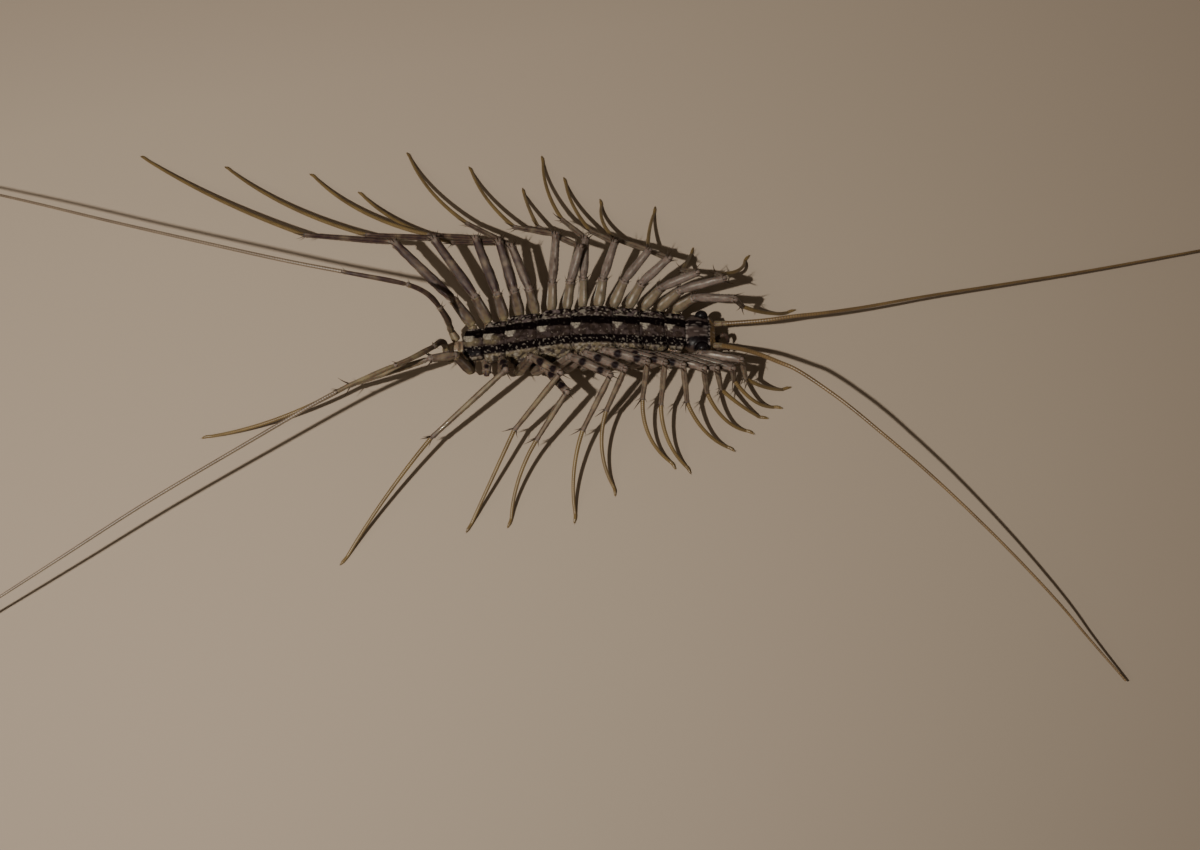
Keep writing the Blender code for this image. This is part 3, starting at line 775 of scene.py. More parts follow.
def make_leg(name, pair, side, stance):
    knee_x, knee_y, knee_z, ankle_x, ankle_y, foot_x, foot_y, bow = stance
    shape = Shape()
    end = coxa(shape, pair, side)
    hip = Vector((end.x, end.y + side * (HIP_OUT - COXA_LENGTH), HIP_Z))
    knee = Vector((knee_x, knee_y, knee_z))
    ankle = Vector((ankle_x, ankle_y, ANKLE_Z))
    foot = Vector((foot_x, foot_y, 0.1))
    plan_share, rise_share = elbow_shares(pair, side)
    elbow = hip.lerp(knee, plan_share)
    elbow.z = hip.z + (knee.z - hip.z) * rise_share
    thigh, femur, tibia = leg_tones(pair, side)
    girth = 1.0 + (LEFT_REAR_GIRTH - 1.0) * rearness(pair, side)
    rear = ease(8.0, 12.0, pair)
    trochanter = end + Vector((0, -side * 0.1, 0))
    podomere(shape, trochanter, hip, (0.48, 0.46), ((0.0, 0.35), (1.0, 0.25)), rows=14)

    stout = [size * girth for size in PREFEMUR_RADII]
    if side > 0 and pair < FIRST_REAR_PAIR:
        stout = LEFT_FRONT_PREFEMUR_RADII
    # Strength of the painted highlight: a pale streak painted along the upper ridges of the prefemur, weaker
    # on the rear legs.
    streak = 0.25 if rear > 0.3 else 0.75
    rosy = (0.35 if side > 0 else 0.8) * (1 - rear)
    back = (hip - elbow).normalized() * 0.12
    podomere(shape, hip + back, elbow, stout, thigh, hair=0.2, sides=20, streak=streak, rosy=rosy)

    spots = []
    if side < 0 and 4 < pair < 13:
        upper_face = Vector((0, -0.5, 0.87)) * 0.4
        spots = [(elbow.lerp(knee, share) + upper_face, reach) for share, reach in FEMUR_SPOTS]
    thick = [size * girth for size in FEMUR_RADII]
    # Strength of the painted highlight on the femur, strongest on the right front legs.
    glint = 1.1 if side < 0 and pair < 5 else 0.6 * streak
    rosy = mix(0.9, 0.3, rear)
    inner = elbow + (elbow - knee).normalized() * 0.05
    podomere(shape, inner, knee, thick, femur, hair=0.22, sides=20, spots=spots, streak=glint, rosy=rosy)
    podomere(shape, knee, ankle, TIBIA_RADII, tibia, hair=0.2, sides=20, rosy=0.5 * rosy)

    joint_ball(shape, elbow, knee - elbow, 0.39 * girth)
    joint_ball(shape, knee, ankle - knee, 0.335 * girth)
    joint_ball(shape, ankle, foot - ankle, 0.23)
    spurs(shape, hip, elbow, knee, 0.44, (0.75, 0.6, 0.6, 0.75))
    spurs(shape, elbow, knee, ankle, 0.36, (1.1, 0.95, 0.8, 0.95, 1.1))
    spurs(shape, knee, ankle, foot, 0.24, (1.25, 0.9, 0.9, 1.25))
    add_tarsus(shape, ankle, (foot_x, foot_y), bow)
    return shape.build(name)


def make_stub(name, pair, side):
    """What is left of a leg that was shed: a coxa and a rounded trochanter."""
    shape = Shape()
    end = coxa(shape, pair, side)
    tip = end + Vector((0, side * 0.5, -0.08))
    podomere(shape, end, tip, (0.38, 0.3), ((0.0, 0.4), (1.0, 0.75)), rows=16)
    return shape.build(name)


def make_trail(name, side, stops):
    """A leg of the last pair, held out behind the body."""
    shape = Shape()
    start = leg_root(PAIRS, side)[0]
    start.z += 0.4
    end = start + Vector((-0.5, side * 0.35, 0.5))
    inner = start + Vector((0.1, -side * 0.5, -0.1))
    podomere(shape, inner, end, (0.48, 0.4), ((0.0, 0.3), (1.0, 0.4)), sides=16, rows=16)
    points = smooth_path([start, end, *stops], TRAIL_STEPS)[TRAIL_STEPS_IN_COXA:]
    lengths = path_lengths(points)
    total = lengths[-1]

    def at(distance):
        i = next(n for n, length in enumerate(lengths) if length >= min(distance, total - 1e-6))
        return points[max(i - 1, 0)].copy()

    podomere(shape, end, at(0.0), (0.36, 0.34), ((0.0, 0.3), (1.0, 0.3)), rows=12)
    joint_ball(shape, at(0.0), at(0.4) - at(0.0), 0.32)
    ends = [total * share for share in TRAIL_PART_ENDS]
    for a, b, sizes, tones in zip(ends, ends[1:], TRAIL_PART_RADII, leg_tones(PAIRS, side)):
        bent_podomere(shape, [at(mix(a, b, share / 23)) for share in range(24)], sizes, tones)
        joint_ball(shape, at(b), at(b + 0.4) - at(b - 0.4), sizes[1] * 0.95)
        spurs(shape, at(b - 1.5), at(b), at(b + 1.5) + Vector((0, 0, -0.4)), sizes[1], (0.7, 0.85, 0.7))
    stretch = [point for point, length in zip(points, lengths) if length >= ends[-1] - 0.1]
    add_ringed(shape, stretch, tapered(TRAIL_TARSUS_RADII, len(stretch)), hair=0.17, spacing=0.3)
    return shape.build(name)


def bent_podomere(shape, points, radii, tones, sides=15):
    """A hard limb part that follows a gentle bend, with serrated ridges and bristles."""
    fine = smooth_path([*points[::4], points[-1]], 10)
    rings = []
    marks = {}
    for row, (point, (along, side, up)) in enumerate(zip(fine, path_frames(fine))):
        share = row / (len(fine) - 1)
        size = mix(*radii, share) * table_value(PART_PROFILE, share)
        ring = []
        for angle in turns(sides):
            ridge = max(0.0, math.cos(RIDGES * angle)) ** 3
            corner = point + size * (0.97 + 0.09 * ridge) * spoke(angle, side, up)
            ring.append(corner)
            note(marks, tone=table_value(tones, share) + 0.16 * ridge - 0.1 + 0.22 * rough(corner, 2.3, 5.0))
        rings.append(ring)
        if row % 3 == 1:
            for angle in turns(RIDGES)[::2]:
                outward = spoke(angle, side, up)
                shape.add_bristle(point + outward * size, outward * 0.55 + along, 0.22)
    shape.add_rings(rings, **marks)


def make_antenna(name, stops):
    """An antenna with two stout parts at its root and a long ringed whip."""
    shape = Shape()
    points = smooth_path(stops, 60)
    base = points[0]
    onward = (points[10] - base).normalized()
    tones = ((0.0, 0.5), (1.0, 0.3))
    inner = base - Vector((0.5, 0, 0.05))
    podomere(shape, inner, base + onward * 0.35, (0.35, 0.33), tones, hair=0.14, sides=16, rows=22)
    start, end = base + onward * 0.3, base + onward * 0.95
    podomere(shape, start, end, (0.31, 0.29), tones, hair=0.14, sides=16, rows=20)
    stretch = [point for point, length in zip(points, path_lengths(points)) if length > 0.8]
    add_ringed(shape, stretch, tapered(FEELER_RADII, len(stretch)), hair=0.2, spacing=0.3, around=3)
    return shape.build(name)


# The body, its plates and its head.


def section(x, y, z, half_width, half_height, angle, squareness):
    """Point at an angle round a cross-section between an oval and a rounded box."""
    across = math.copysign(abs(math.cos(angle)) ** squareness, math.cos(angle))
    upward = math.copysign(abs(math.sin(angle)) ** squareness, math.sin(angle))
    return Vector((x, y + half_width * across, z + half_height * upward))


def trunk_outline(x):
    """Half width, top and bottom of the soft body, from inside the head to the tip of the tail."""
    if x > TRUNK_FRONT_X - 0.25:
        neck = ease(TRUNK_FRONT_X - 0.25, TRUNK_FRONT_X + 0.05, x)
        top = mix(back_z(TRUNK_FRONT_X) - 0.85, 4.35, neck)
        return mix(flank(TRUNK_FRONT_X), 1.15, neck), top, mix(BELLY_Z, 3.1, neck)
    if x < TRUNK_REAR_X + 0.2:
        share = (TRUNK_REAR_X + 0.2 - x) / (TRUNK_REAR_X + 0.2 - TELSON_REAR_X)
        sizes = ((0.0, 1.12), (0.12, 1.0), (0.4, 0.9), (0.72, 0.66), (0.92, 0.38), (1.0, 0.1))
        size = table_value(sizes, share)
        top = mix(back_z(TRUNK_REAR_X) - 0.85, TELSON_Z + 0.75 * size, ease(0.0, 0.2, share))
        bottom = mix(BELLY_Z, TELSON_Z - 0.75 * size, ease(0.0, 0.2, share))
        return 0.87 * size, top, bottom
    return flank(x), back_z(x) - 0.82, BELLY_Z


def make_body_skin():
    """Soft body with a collar round each leg root, belly plates, folds, a neck and a tail, in one skin."""
    shape = Shape()
    rings = []
    marks = {}
    for row in range(SKIN_ROWS):
        x = mix(HEAD_REAR_X + 0.35, TELSON_REAR_X + 0.02, row / (SKIN_ROWS - 1))
        half_width, top, bottom = trunk_outline(x)
        middle = 0.5 * (top + bottom)
        pair = min(PAIRS, max(1, round((FIRST_LEG_X - x) / LEG_SPACING) + 1))
        off = (x - leg_x(pair)) / LEG_SPACING
        inside = ease(TRUNK_REAR_X - 0.2, TRUNK_REAR_X + 0.5, x)
        inside *= 1 - ease(TRUNK_FRONT_X - 0.5, TRUNK_FRONT_X, x)
        pinch = -0.07 * (0.5 - 0.5 * math.cos(2 * math.pi * off)) ** 2
        ring = []
        for angle in turns(SKIN_SIDES):
            point = section(x, body_y(x), middle, half_width, top - middle, angle, 0.85)
            outward = Vector((0, math.cos(angle), math.sin(angle)))
            side = 1 if outward.y > 0 else -1
            low = ease(0.25, 0.8, -outward.z)
            fold = 0.03 * rough((x * 2.2, angle * 1.1, side), 1.6, 9.0) + 0.015 * rough(point, 6.0, 4.0)
            push = (pinch + fold) * inside
            collar = 0.0
            if abs(outward.y) > 0.3:
                away = math.hypot((x - leg_x(pair)) / COLLAR_SIZE[0], (point.z - COXA_Z) / COLLAR_SIZE[1])
                collar = ease(COLLAR_EDGE, 0.55, away)
                push += COLLAR_RISE * collar * inside
                push -= 0.05 * hump(away - COLLAR_EDGE, 0.16) * inside
            plate = ease(0.5, 0.85, -outward.z) * (1 - ease(0.42, 0.5, abs(off)))
            push += (0.1 * plate - 0.05 * low * hump(outward.y, 0.06)) * inside
            point += outward * push
            ring.append(point)
            blotch = rough((x, point.z * 1.3, side * 3.0), 2.1, 11.0)
            note(
                marks,
                tone=0.35 + 0.3 * rough(point, 1.3, 7.0) + 0.25 * low * plate,
                spot=ease(0.28, 0.4, blotch) * inside * (1 - low) * (1 - collar),
                cream=ease(0.25, 0.5, rough(point, 1.7, 21.0)) * (1 - low),
                spiny=0.3 * (1 - low),
            )
        rings.append(ring)
    shape.add_rings(rings, **marks)
    for side in (1, -1):
        root = Vector((TELSON_REAR_X + 0.5, body_y(TELSON_REAR_X) + side * 0.3, TELSON_Z - 0.2))
        for step in range(5):
            lean = Vector((-1.0, side * (0.2 + 0.15 * step), 0.25 - 0.2 * step))
            shape.add_bristle(root + Vector((0.12 * step, side * 0.05 * step, 0)), lean, 0.4)
    return shape.build("body_skin")


def plate_outline(share):
    """Half width of a plate as a share of its largest, from its front edge at 0 to its rear edge at 1."""
    front = 1.0 - 0.24 * max(0.0, 1.0 - share / 0.25) ** 2
    rear = 1.0 - 0.26 * max(0.0, (share - 0.75) / 0.25) ** 2
    return min(front, rear)


def pattern_shift(x):
    """How far the markings sit to the right of the midline, a little more towards the head."""
    return 0.05 + 0.27 * ease(-6.0, 8.0, x)


def stripe_at(x, off, share):
    """How black the two stripes of the back are, and how pale their pits, which are clearer on the right."""
    off += pattern_shift(x)
    side = 1 if off > 0 else -1
    wave = 0.07 * rough((x, side, 0), 1.1, 3.0) + 0.12 * rough((x, off, side), 4.5, 8.0)
    narrow = 1.0 - 0.2 * ease(8.0, 12.5, x) - 0.15 * ease(-9.0, -13.0, x)
    place = STRIPE_PLACE * narrow * (0.92 + 0.15 * share)
    width = STRIPE_HALF_WIDTH * (1.06 if side > 0 else 0.92)
    black = 1.0 - ease(width * 0.8, width * 1.1, abs(abs(off) - place) + wave)
    pits = ease(0.34, 0.48, rough((x, off, side), 4.0, 14.0))
    return black, black * pits * (0.1 if side > 0 else 0.7)


def plate_top(index, x, off, reach, share, front):
    """A point of the top of a plate, with its saddle, slit, rim and dents, and its lap under the next."""
    outline = plate_outline(share)
    notch = 0.16 * hump(off, 0.16) * ease(0.8, 1.0, share)
    bow = 0.2 * reach**2 * ease(0.4, 1.0, share)
    lap = -0.26 * (1.0 - ease(0.0, 0.5, front - x)) if index > 0 else 0.0
    z = back_z(x) + PLATE_REAR_RISE * share - PLATE_CROWN * (reach * outline) ** 2 + lap
    saddle = SADDLE_HEIGHT * hump(off, 0.5) * share**3
    slit = -0.1 * hump(off, 0.05) * ease(0.78, 0.9, share)
    rim = 0.07 * ease(0.86, 0.94, abs(reach)) * (1 - ease(0.97, 1.0, abs(reach)))
    rim += 0.06 * ease(0.9, 0.97, share)
    dent = 0.02 * rough((x, off, 0), 2.4, index) + 0.008 * rough((x, off, 0), 9.0, index)
    round_off = 0.14 * ease(0.93, 1.0, abs(reach)) + 0.1 * ease(0.965, 1.0, share)
    return Vector((x + notch + bow, body_y(x) + off, z + saddle + slit + rim + dent - round_off))


def plate_pattern(marks, index, x, off, reach, share, rear):
    """Notes the colour marks of a point of a plate, and how thickly spinules stand there."""
    black, pits = stripe_at(x, off, share)
    pale = plate_pale(index, x, off, share, reach, rear)
    outer = ease(1.5, 1.75, abs(off + pattern_shift(x)))
    blotch = ease(-0.06, 0.1, rough((x, off * 1.2, index), 2.6, 91.0)) * ease(0.6, 0.76, abs(reach))
    black = max(black, blotch * (0.95 if off > 0 else 0.6))
    tone = 0.6 + 0.35 * rough((x, off, 0), 1.3, 31.0) + 0.4 * rough((x, off, 0), 4.0, 17.0)
    note(
        marks,
        stripe=max(0.0, black - pits) * (1 - pale),
        cream=max(pale, 0.5 * pits),
        spot=plate_olive(index, x, off, rear) * (1 - black),
        rosy=ease(-0.02, 0.24, rough((x, off, index), 2.3, 47.0)) * mix(0.3, 0.95, outer),
        tone=tone - 0.35 * outer * (off < 0),
        spiny=0.3 + 0.6 * ease(0.7, 0.95, abs(reach)) - 0.2 * black * (off > 0),
    )


def make_plate(index):
    """One back plate with its black stripes, its raised pale saddle and its toothed rim."""
    shape = Shape()
    front = TRUNK_FRONT_X + 0.28 if index == 0 else PLATE_REAR_X[index - 1] + 0.3
    rear = PLATE_REAR_X[index]
    half_width = PLATE_HALF_WIDTH[index]
    rows = round((front - rear) / PLATE_CELL)
    columns = round(2 * half_width / PLATE_CELL)
    marks = {}
    rings = []
    for share in [row / rows for row in range(rows + 1)]:
        x = mix(front, rear, share)
        top = []
        under = []
        for reach in [2 * column / columns - 1 for column in range(columns + 1)]:
            off = half_width * plate_outline(share) * reach
            point = plate_top(index, x, off, reach, share, front)
            thick = PLATE_THICKNESS * (0.72 - 0.3 * reach**4) * (1 - 0.35 * ease(0.85, 1.0, share))
            top.append(point)
            under.append(point + Vector((0, 0, -thick)))
            plate_pattern(marks, index, x, off, reach, share, rear)
        rings.append(top + under[::-1])
        for name, values in marks.items():
            values += [0.0] * len(top) if name == "spiny" else values[-len(top):][::-1]
    shape.add_rings(rings, **marks)
    count = round((front - rear) / 0.13)
    for side in (1, -1):
        for share in [(i + 0.5) / count for i in range(count)]:
            x = mix(front, rear, share)
            off = side * half_width * plate_outline(share)
            z = back_z(x) + PLATE_REAR_RISE * share - PLATE_CROWN * plate_outline(share) ** 2 - 0.2
            root = Vector((x, body_y(x) + off * 0.985, z))
            shape.add_bristle(root, (-0.6, side * 1.0, 0.1), 0.2 + 0.08 * rough(root, 3.0, 1.0))
    count = round(1.6 * half_width / 0.16)
    for i in range(count):
        off = half_width * 0.74 * (2 * (i + 0.5) / count - 1) * 0.95
        z = back_z(rear) + PLATE_REAR_RISE - PLATE_CROWN * (off / half_width) ** 2
        shape.add_bristle((rear + 0.05, body_y(rear) + off, z), (-1.0, 0.1 * off, 0.3), 0.14)
    return shape.build(f"back_plate_{index + 1}")


def plate_pale(index, x, off, share, reach, rear):
    """The pale saddle mark at the rear of a plate, and the small pale patches and dots round it."""
    inner = off + pattern_shift(x)
    wobble = 0.16 * rough((x, off, index), 3.6, 40.0) + 0.08 * rough((x, off, index), 9.0, 44.0)
    inward = (0.72 - inner) / 0.78
    narrowing = mix(0.85, 0.35, ease(3.0, 5.0, index))
    half_length = 0.58 * (1.0 - narrowing * inward) if inward > 0 else 0.0
    saddle = 1.0 - ease(-0.12, 0.1, abs(x - rear - 0.5) - half_length + wobble)
    saddle *= ease(0.78, 0.7, inner) * ease(1.05, 0.9, inward)
    saddle *= 0.82 + 0.5 * rough((x, off, index), 6.0, 12.0)
    corner = ease(1.6, 1.75, abs(inner)) * ease(0.5, 0.75, share) * ease(0.95, 0.85, abs(reach))
    patch = 0.6 * corner * ease(0.05, 0.25, rough((x * 0.9, off * 1.4, index), 2.0, 55.0))
    dots = ease(1.5, 1.65, abs(inner)) * ease(0.3, 0.42, rough((x, off, 2.0), 3.6, 61.0))
    dots *= 0.62 if inner > 0 else 0.4
    line = 0.55 * hump(abs(inner) - 1.68, 0.07) * ease(-0.1, 0.3, rough((x, off, 5.0), 3.0, 9.0))
    specks = 0.35 * ease(0.42, 0.5, rough((x, off, 3.0), 5.0, 71.0)) * (inner < 0.5)
    return min(1.0, max(saddle, patch, dots, line, specks))


def plate_olive(index, x, off, rear):
    """The yellowish mottled flank on the right of a plate, and the olive cloud on the last two plates."""
    inner = off + pattern_shift(x)
    mottled = ease(-1.45, -1.7, inner) * (0.55 + 0.6 * rough((x, off, 6.0), 2.6, 33.0))
    cloud = 0.0
    if index > 5:
        spread = math.hypot((x - rear - 0.8) / 1.0, (inner + 0.05) / 0.62)
        cloud = (0.5 + 0.5 * rough((x, off, 9.0), 3.4, 3.0)) * (1.0 - ease(0.6, 1.1, spread))
    return clamp(max(mottled, cloud))


def head_outline(x):
    """Half width, top and bottom of the head."""
    for (a, *low), (b, *high) in zip(HEAD_STATIONS, HEAD_STATIONS[1:]):
        if x <= b:
            return [mix(p, q, (x - a) / (b - a)) for p, q in zip(low, high)]


def head_profile():
    """x, half width, top and bottom at rows that come closer towards the face, which is rounded off."""
    profile = []
    for turn in [0.5 * math.pi * i / (HEAD_ROWS - 1) for i in range(HEAD_ROWS)]:
        x = HEAD_REAR_X + (HEAD_FRONT_X - HEAD_REAR_X) * math.sin(turn)
        near = [head_outline(min(HEAD_FRONT_X, max(HEAD_REAR_X, x + 0.09 * i))) for i in range(-2, 3)]
        profile.append([x, *(sum(values) / 5 for values in zip(*near))])
    _, half_width, top, bottom = profile[-1]
    middle = 0.5 * (top + bottom)
    for more, size in HEAD_CAPS:
        low = middle - (middle - bottom) * size
        profile.append([HEAD_FRONT_X + more, half_width * size, middle + (top - middle) * size, low])
    return profile


def head_relief(x, off, side, point, away, up):
    """How far the head's surface stands out at a point: eye rims, forked seam, shield, sockets and mouth."""
    push = 0.05 * hump(away - 0.82, 0.13) - 0.2 * (1 - ease(0.45, 0.75, away))
    seam = abs(off) if x < SEAM_FORK_X else abs(abs(off) - (x - SEAM_FORK_X) * 1.05)
    push -= 0.07 * hump(seam, 0.05) * up
    push += 0.06 * hump(x - BROW_X, 0.1) * hump(off, 0.9) * up
    socket = math.hypot(point.y - body_y(x) - side * SOCKET_OUT, point.z - SOCKET_Z)
    push += 0.12 * hump(socket - 0.36, 0.1) * ease(11.9, 12.2, x)
    slit = hump(point.z - MOUTH_Z, 0.05) * ease(12.15, 12.35, x) * ease(1.15, 0.95, abs(off))
    lip = hump(point.z - LIP_Z, 0.1) * ease(12.15, 12.35, x) * ease(1.1, 0.8, abs(off))
    chin = hump(point.z - CHIN_Z, 0.12) * ease(12.0, 12.3, x) * ease(1.1, 0.8, abs(off))
    push += 0.09 * lip + 0.05 * chin - 0.16 * slit
    return push + (0.02 * rough(point, 3.0, 3.0) + 0.008 * rough(point, 9.0, 5.0))


def head_pattern(marks, x, off, side, point, away, up):
    """Notes the colour marks of a point of the head."""
    place = 1.0 - 0.35 * ease(10.6, 12.3, x)
    wave = 0.16 * rough((x, off, side), 3.4, 12.0)
    black = (1 - ease(0.34, 0.48, abs(abs(off + pattern_shift(x)) - place) + wave)) * up
    black *= 1 - ease(SHIELD_X, SHIELD_X + 0.1, x)
    round_eye = (1 - ease(0.84, 1.0, away + wave)) * up
    arc = (1 - ease(0.1, 0.2, abs(x - 11.98 + 0.1 * off * off) + wave)) * up * ease(1.2, 1.0, abs(off))
    streak = ease(0.1, 0.4, rough((x * 0.6, off * 2.4, 0), 2.2, 19.0)) * up * ease(0.9, 0.7, abs(off))
    edge_dots = ease(0.1, 0.3, rough((x, off * 3.0, 4.0), 2.6, 23.0)) * hump(x - 12.0, 0.1) * up
    rear_dots = ease(0.0, 0.25, rough((x, off * 3.0, 8.0), 2.2, 29.0)) * hump(x - 9.75, 0.16) * up
    note(
        marks,
        stripe=max(black, round_eye, arc * 0.9),
        cream=max(0.55 * streak, edge_dots, rear_dots),
        tone=0.5 + 0.4 * rough(point, 1.8, 2.0),
        spot=ease(SHIELD_X, SHIELD_X + 0.12, x) + (1 - up) * 0.35,
        spiny=0.35 * up,
    )


def make_head():
    """Head shell with eye rims, forked seam, feeler sockets, face shield, upper lip and mouth slit."""
    shape = Shape()
    rings = []
    marks = {}
    for x, half_width, top, bottom in head_profile():
        middle = 0.5 * (top + bottom)
        ring = []
        for angle in turns(HEAD_SIDES):
            y = body_y(x)
            point = section(x, y, middle, half_width, top - middle, angle, 0.8)
            outward = Vector((0.25 if x > 12.2 else 0.0, math.cos(angle), math.sin(angle)))
            off = point.y - y
            side = 1 if off > 0 else -1
            away = (point - Vector((EYE_CENTRE[0], y + side * EYE_CENTRE[1], EYE_CENTRE[2]))).length
            up = ease(0.0, 0.4, outward.z)
            point = point + outward * head_relief(x, off, side, point, away, up)
            ring.append(point)
            head_pattern(marks, x, off, side, point, away, up)
        rings.append(ring)
    shape.add_rings(rings, **marks)
    middle = body_y(HEAD_FRONT_X)
    for off in (-0.75, -0.45, -0.15, 0.15, 0.45, 0.75):
        shape.add_bristle((HEAD_FRONT_X, middle + off, 3.75), (1.0, off * 0.4, -0.25), 0.45)
        shape.add_bristle((HEAD_FRONT_X - 0.1, middle + off, 4.5), (1.0, off * 0.5, 0.5), 0.3)
    return shape.build("head_shell")


def make_eye(name, side):
    """Eye of points spread evenly over an oval, which the facets sit on."""
    bulk = bmesh.new()
    bmesh.ops.create_icosphere(bulk, subdivisions=4, radius=1.0)
    x, y, z = EYE_CENTRE
    centre = Vector((x, body_y(x) + side * y, z))
    for vertex in bulk.verts:
        offset = Vector([radius * part for radius, part in zip(EYE_RADII, vertex.co)])
        vertex.co = (centre + offset + BODY_MIDDLE) * MM
    mesh = bpy.data.meshes.new(name)
    bulk.to_mesh(mesh)
    bulk.free()
    return new_object(name, mesh)


def make_horn(name, side, stops, radii, tones, collars, sides, steps):
    """A poison claw or a palp: a curved horn with a collar at each joint."""
    shape = Shape()
    middle = body_y(HEAD_FRONT_X)
    points = smooth_path([(x, middle + side * y, z) for x, y, z in stops], steps)
    rings = []
    marks = {}
    for row, (point, (along, across, up)) in enumerate(zip(points, path_frames(points))):
        share = row / (len(points) - 1)
        size = table_value(radii, share)
        for collar in collars:
            size *= 1.0 + 0.1 * hump(share - collar + 0.03, 0.02) - 0.16 * hump(share - collar - 0.01, 0.012)
        rings.append([point + size * spoke(angle, across, up) for angle in turns(sides)])
        for _ in range(sides):
            note(marks, tone=table_value(tones, share))
        if row % 3 == 1 and share < 0.85:
            for angle in (0.6, 2.6, 4.6):
                outward = spoke(angle + row, across, up)
                shape.add_bristle(point + outward * size, outward + along * 0.6, 0.2)
    shape.add_rings(rings, **marks)
    return shape.build(name)


# Materials.


def paint(tree, share, low, high):
    node = add(tree, "ShaderNodeMix", {0: share}, data_type="RGBA")
    for index, colour in ((6, low), (7, high)):
        if isinstance(colour, bpy.types.NodeSocket):
            tree.links.new(colour, node.inputs[index])
        else:
            node.inputs[index].default_value = (*colour, 1.0)
    return node.outputs[2]


def band(tree, value, low, high):
    """0 below low and 1 above high."""
    return out(tree, "ShaderNodeMapRange", {0: value, 1: low, 2: high, 3: 0.0, 4: 1.0}, clamp=True)


def new_finish(name, scales, **constants):
    """A new material, its tree and a noise for each scale, with features about 1 / scale metres across."""
    material = bpy.data.materials.new(name)
    material.use_nodes = True
    tree = material.node_tree
    for label, value in constants.items():
        tree.nodes["Principled BSDF"].inputs[label.replace("_", " ")].default_value = value
    inputs = {"Vector": object_place(tree), "Detail": 3.0, "Roughness": 0.55}
    grains = [out(tree, "ShaderNodeTexNoise", {**inputs, "Scale": scale}) for scale in scales]
    return material, tree, grains


def object_place(tree):
    return add(tree, "ShaderNodeTexCoord").outputs["Object"]


def coated(tree, colour, *coats):
    """A colour under coats of other colours, each as strong as a painted mark or a share of noise."""
    for share, coat in coats:
        colour = paint(tree, painted_mark(tree, share) if isinstance(share, str) else share, colour, coat)
    return colour


def surfaced(material, colour, mottle, span, height=None, strength=0.0, depth=0.0):
    """Gives a material its colour, a roughness that follows the mottle and a fine relief."""
    tree = material.node_tree
    sockets = tree.nodes["Principled BSDF"].inputs
    tree.links.new(colour, sockets["Base Color"])
    tree.links.new(sums(tree, "MULTIPLY_ADD", mottle, *span), sockets["Roughness"])
    if height:
        inputs = {"Strength": strength, "Distance": depth, "Height": height}
        tree.links.new(out(tree, "ShaderNodeBump", inputs), sockets["Normal"])
    return material


def painted_mark(tree, name):
    return add(tree, "ShaderNodeAttribute", attribute_name=name).outputs["Fac"]


def plate_finish():
    scales = (900.0, 4200.0)
    material, tree, (coarse, fine) = new_finish("back_plate_finish", scales, Specular_IOR_Level=0.08)
    cream = paint(tree, band(tree, fine, 0.35, 0.65), (0.36, 0.325, 0.26), (0.24, 0.21, 0.175))
    colour = coated(
        tree,
        (0.05, 0.034, 0.026),
        ("tone", (0.011, 0.007, 0.007)),
        (band(tree, coarse, 0.5, 0.75), (0.034, 0.023, 0.02)),
        ("rosy", (0.1, 0.076, 0.074)),
        ("spot", (0.16, 0.128, 0.075)),
        ("stripe", (0.0028, 0.0012, 0.0016)),
        ("cream", cream),
    )
    return surfaced(material, colour, fine, (0.3, 0.3), sums(tree, "ADD", fine, coarse), 0.5, 0.00003)


def skin_finish():
    material, tree, (coarse, fine) = new_finish(
        "soft_skin_finish",
        (700.0, 3600.0),
        Coat_Weight=0.15,
        Coat_Roughness=0.35,
        Subsurface_Weight=0.15,
        Subsurface_Scale=0.0003,
    )
    colour = coated(
        tree,
        (0.27, 0.2, 0.13),
        ("tone", (0.1, 0.062, 0.045)),
        (band(tree, coarse, 0.5, 0.7), (0.2, 0.125, 0.1)),
        (times(tree, painted_mark(tree, "cream"), 0.5), (0.4, 0.33, 0.19)),
        ("spot", (0.012, 0.006, 0.006)),
    )
    return surfaced(material, colour, fine, (0.3, 0.3), sums(tree, "ADD", fine, coarse), 0.4, 0.00003)


def limb_finish():
    material, tree, (coarse, fine) = new_finish(
        "limb_finish",
        (1500.0, 5200.0),
        Specular_IOR_Level=0.16,
        Coat_Weight=0.03,
        Subsurface_Weight=0.15,
        Subsurface_Scale=0.0004,
    )
    tone = painted_mark(tree, "tone")
    pale = paint(tree, coarse, (0.215, 0.175, 0.1), (0.14, 0.108, 0.062))
    blush = paint(tree, band(tree, coarse, 0.35, 0.65), (0.172, 0.132, 0.114), (0.1, 0.075, 0.066))
    colour = coated(
        tree,
        pale,
        (band(tree, tone, 0.1, 0.5), (0.095, 0.066, 0.045)),
        (times(tree, painted_mark(tree, "rosy"), band(tree, tone, 0.75, 0.3)), blush),
        (band(tree, tone, 0.45, 0.95), (0.021, 0.0085, 0.0135)),
        # Painted highlight: the pale colour laid where the limb parts carry their painted highlight streaks.
        ("cream", (0.47, 0.43, 0.37)),
        ("spot", (0.008, 0.004, 0.005)),
    )
    return surfaced(material, colour, coarse, (0.25, 0.36), fine, 0.3, 0.00002)


def ringed_finish(name, bright, dark, joint):
    shine = {"Coat_Weight": 0.2, "Coat_Roughness": 0.3}
    material, tree, (coarse, fine) = new_finish(name, (420.0, 5200.0), **shine)
    colour = paint(tree, band(tree, coarse, 0.35, 0.65), bright, dark)
    colour = paint(tree, band(tree, painted_mark(tree, "ring"), 0.75, 0.35), colour, joint)
    return surfaced(material, colour, fine, (0.25, 0.3), fine, 0.25, 0.00002)


def bristle_finish(name, low, high):
    material, tree, (fine,) = new_finish(name, (2400.0,), Specular_IOR_Level=0.25)
    return surfaced(material, paint(tree, fine, low, high), fine, (0.2, 0.32))


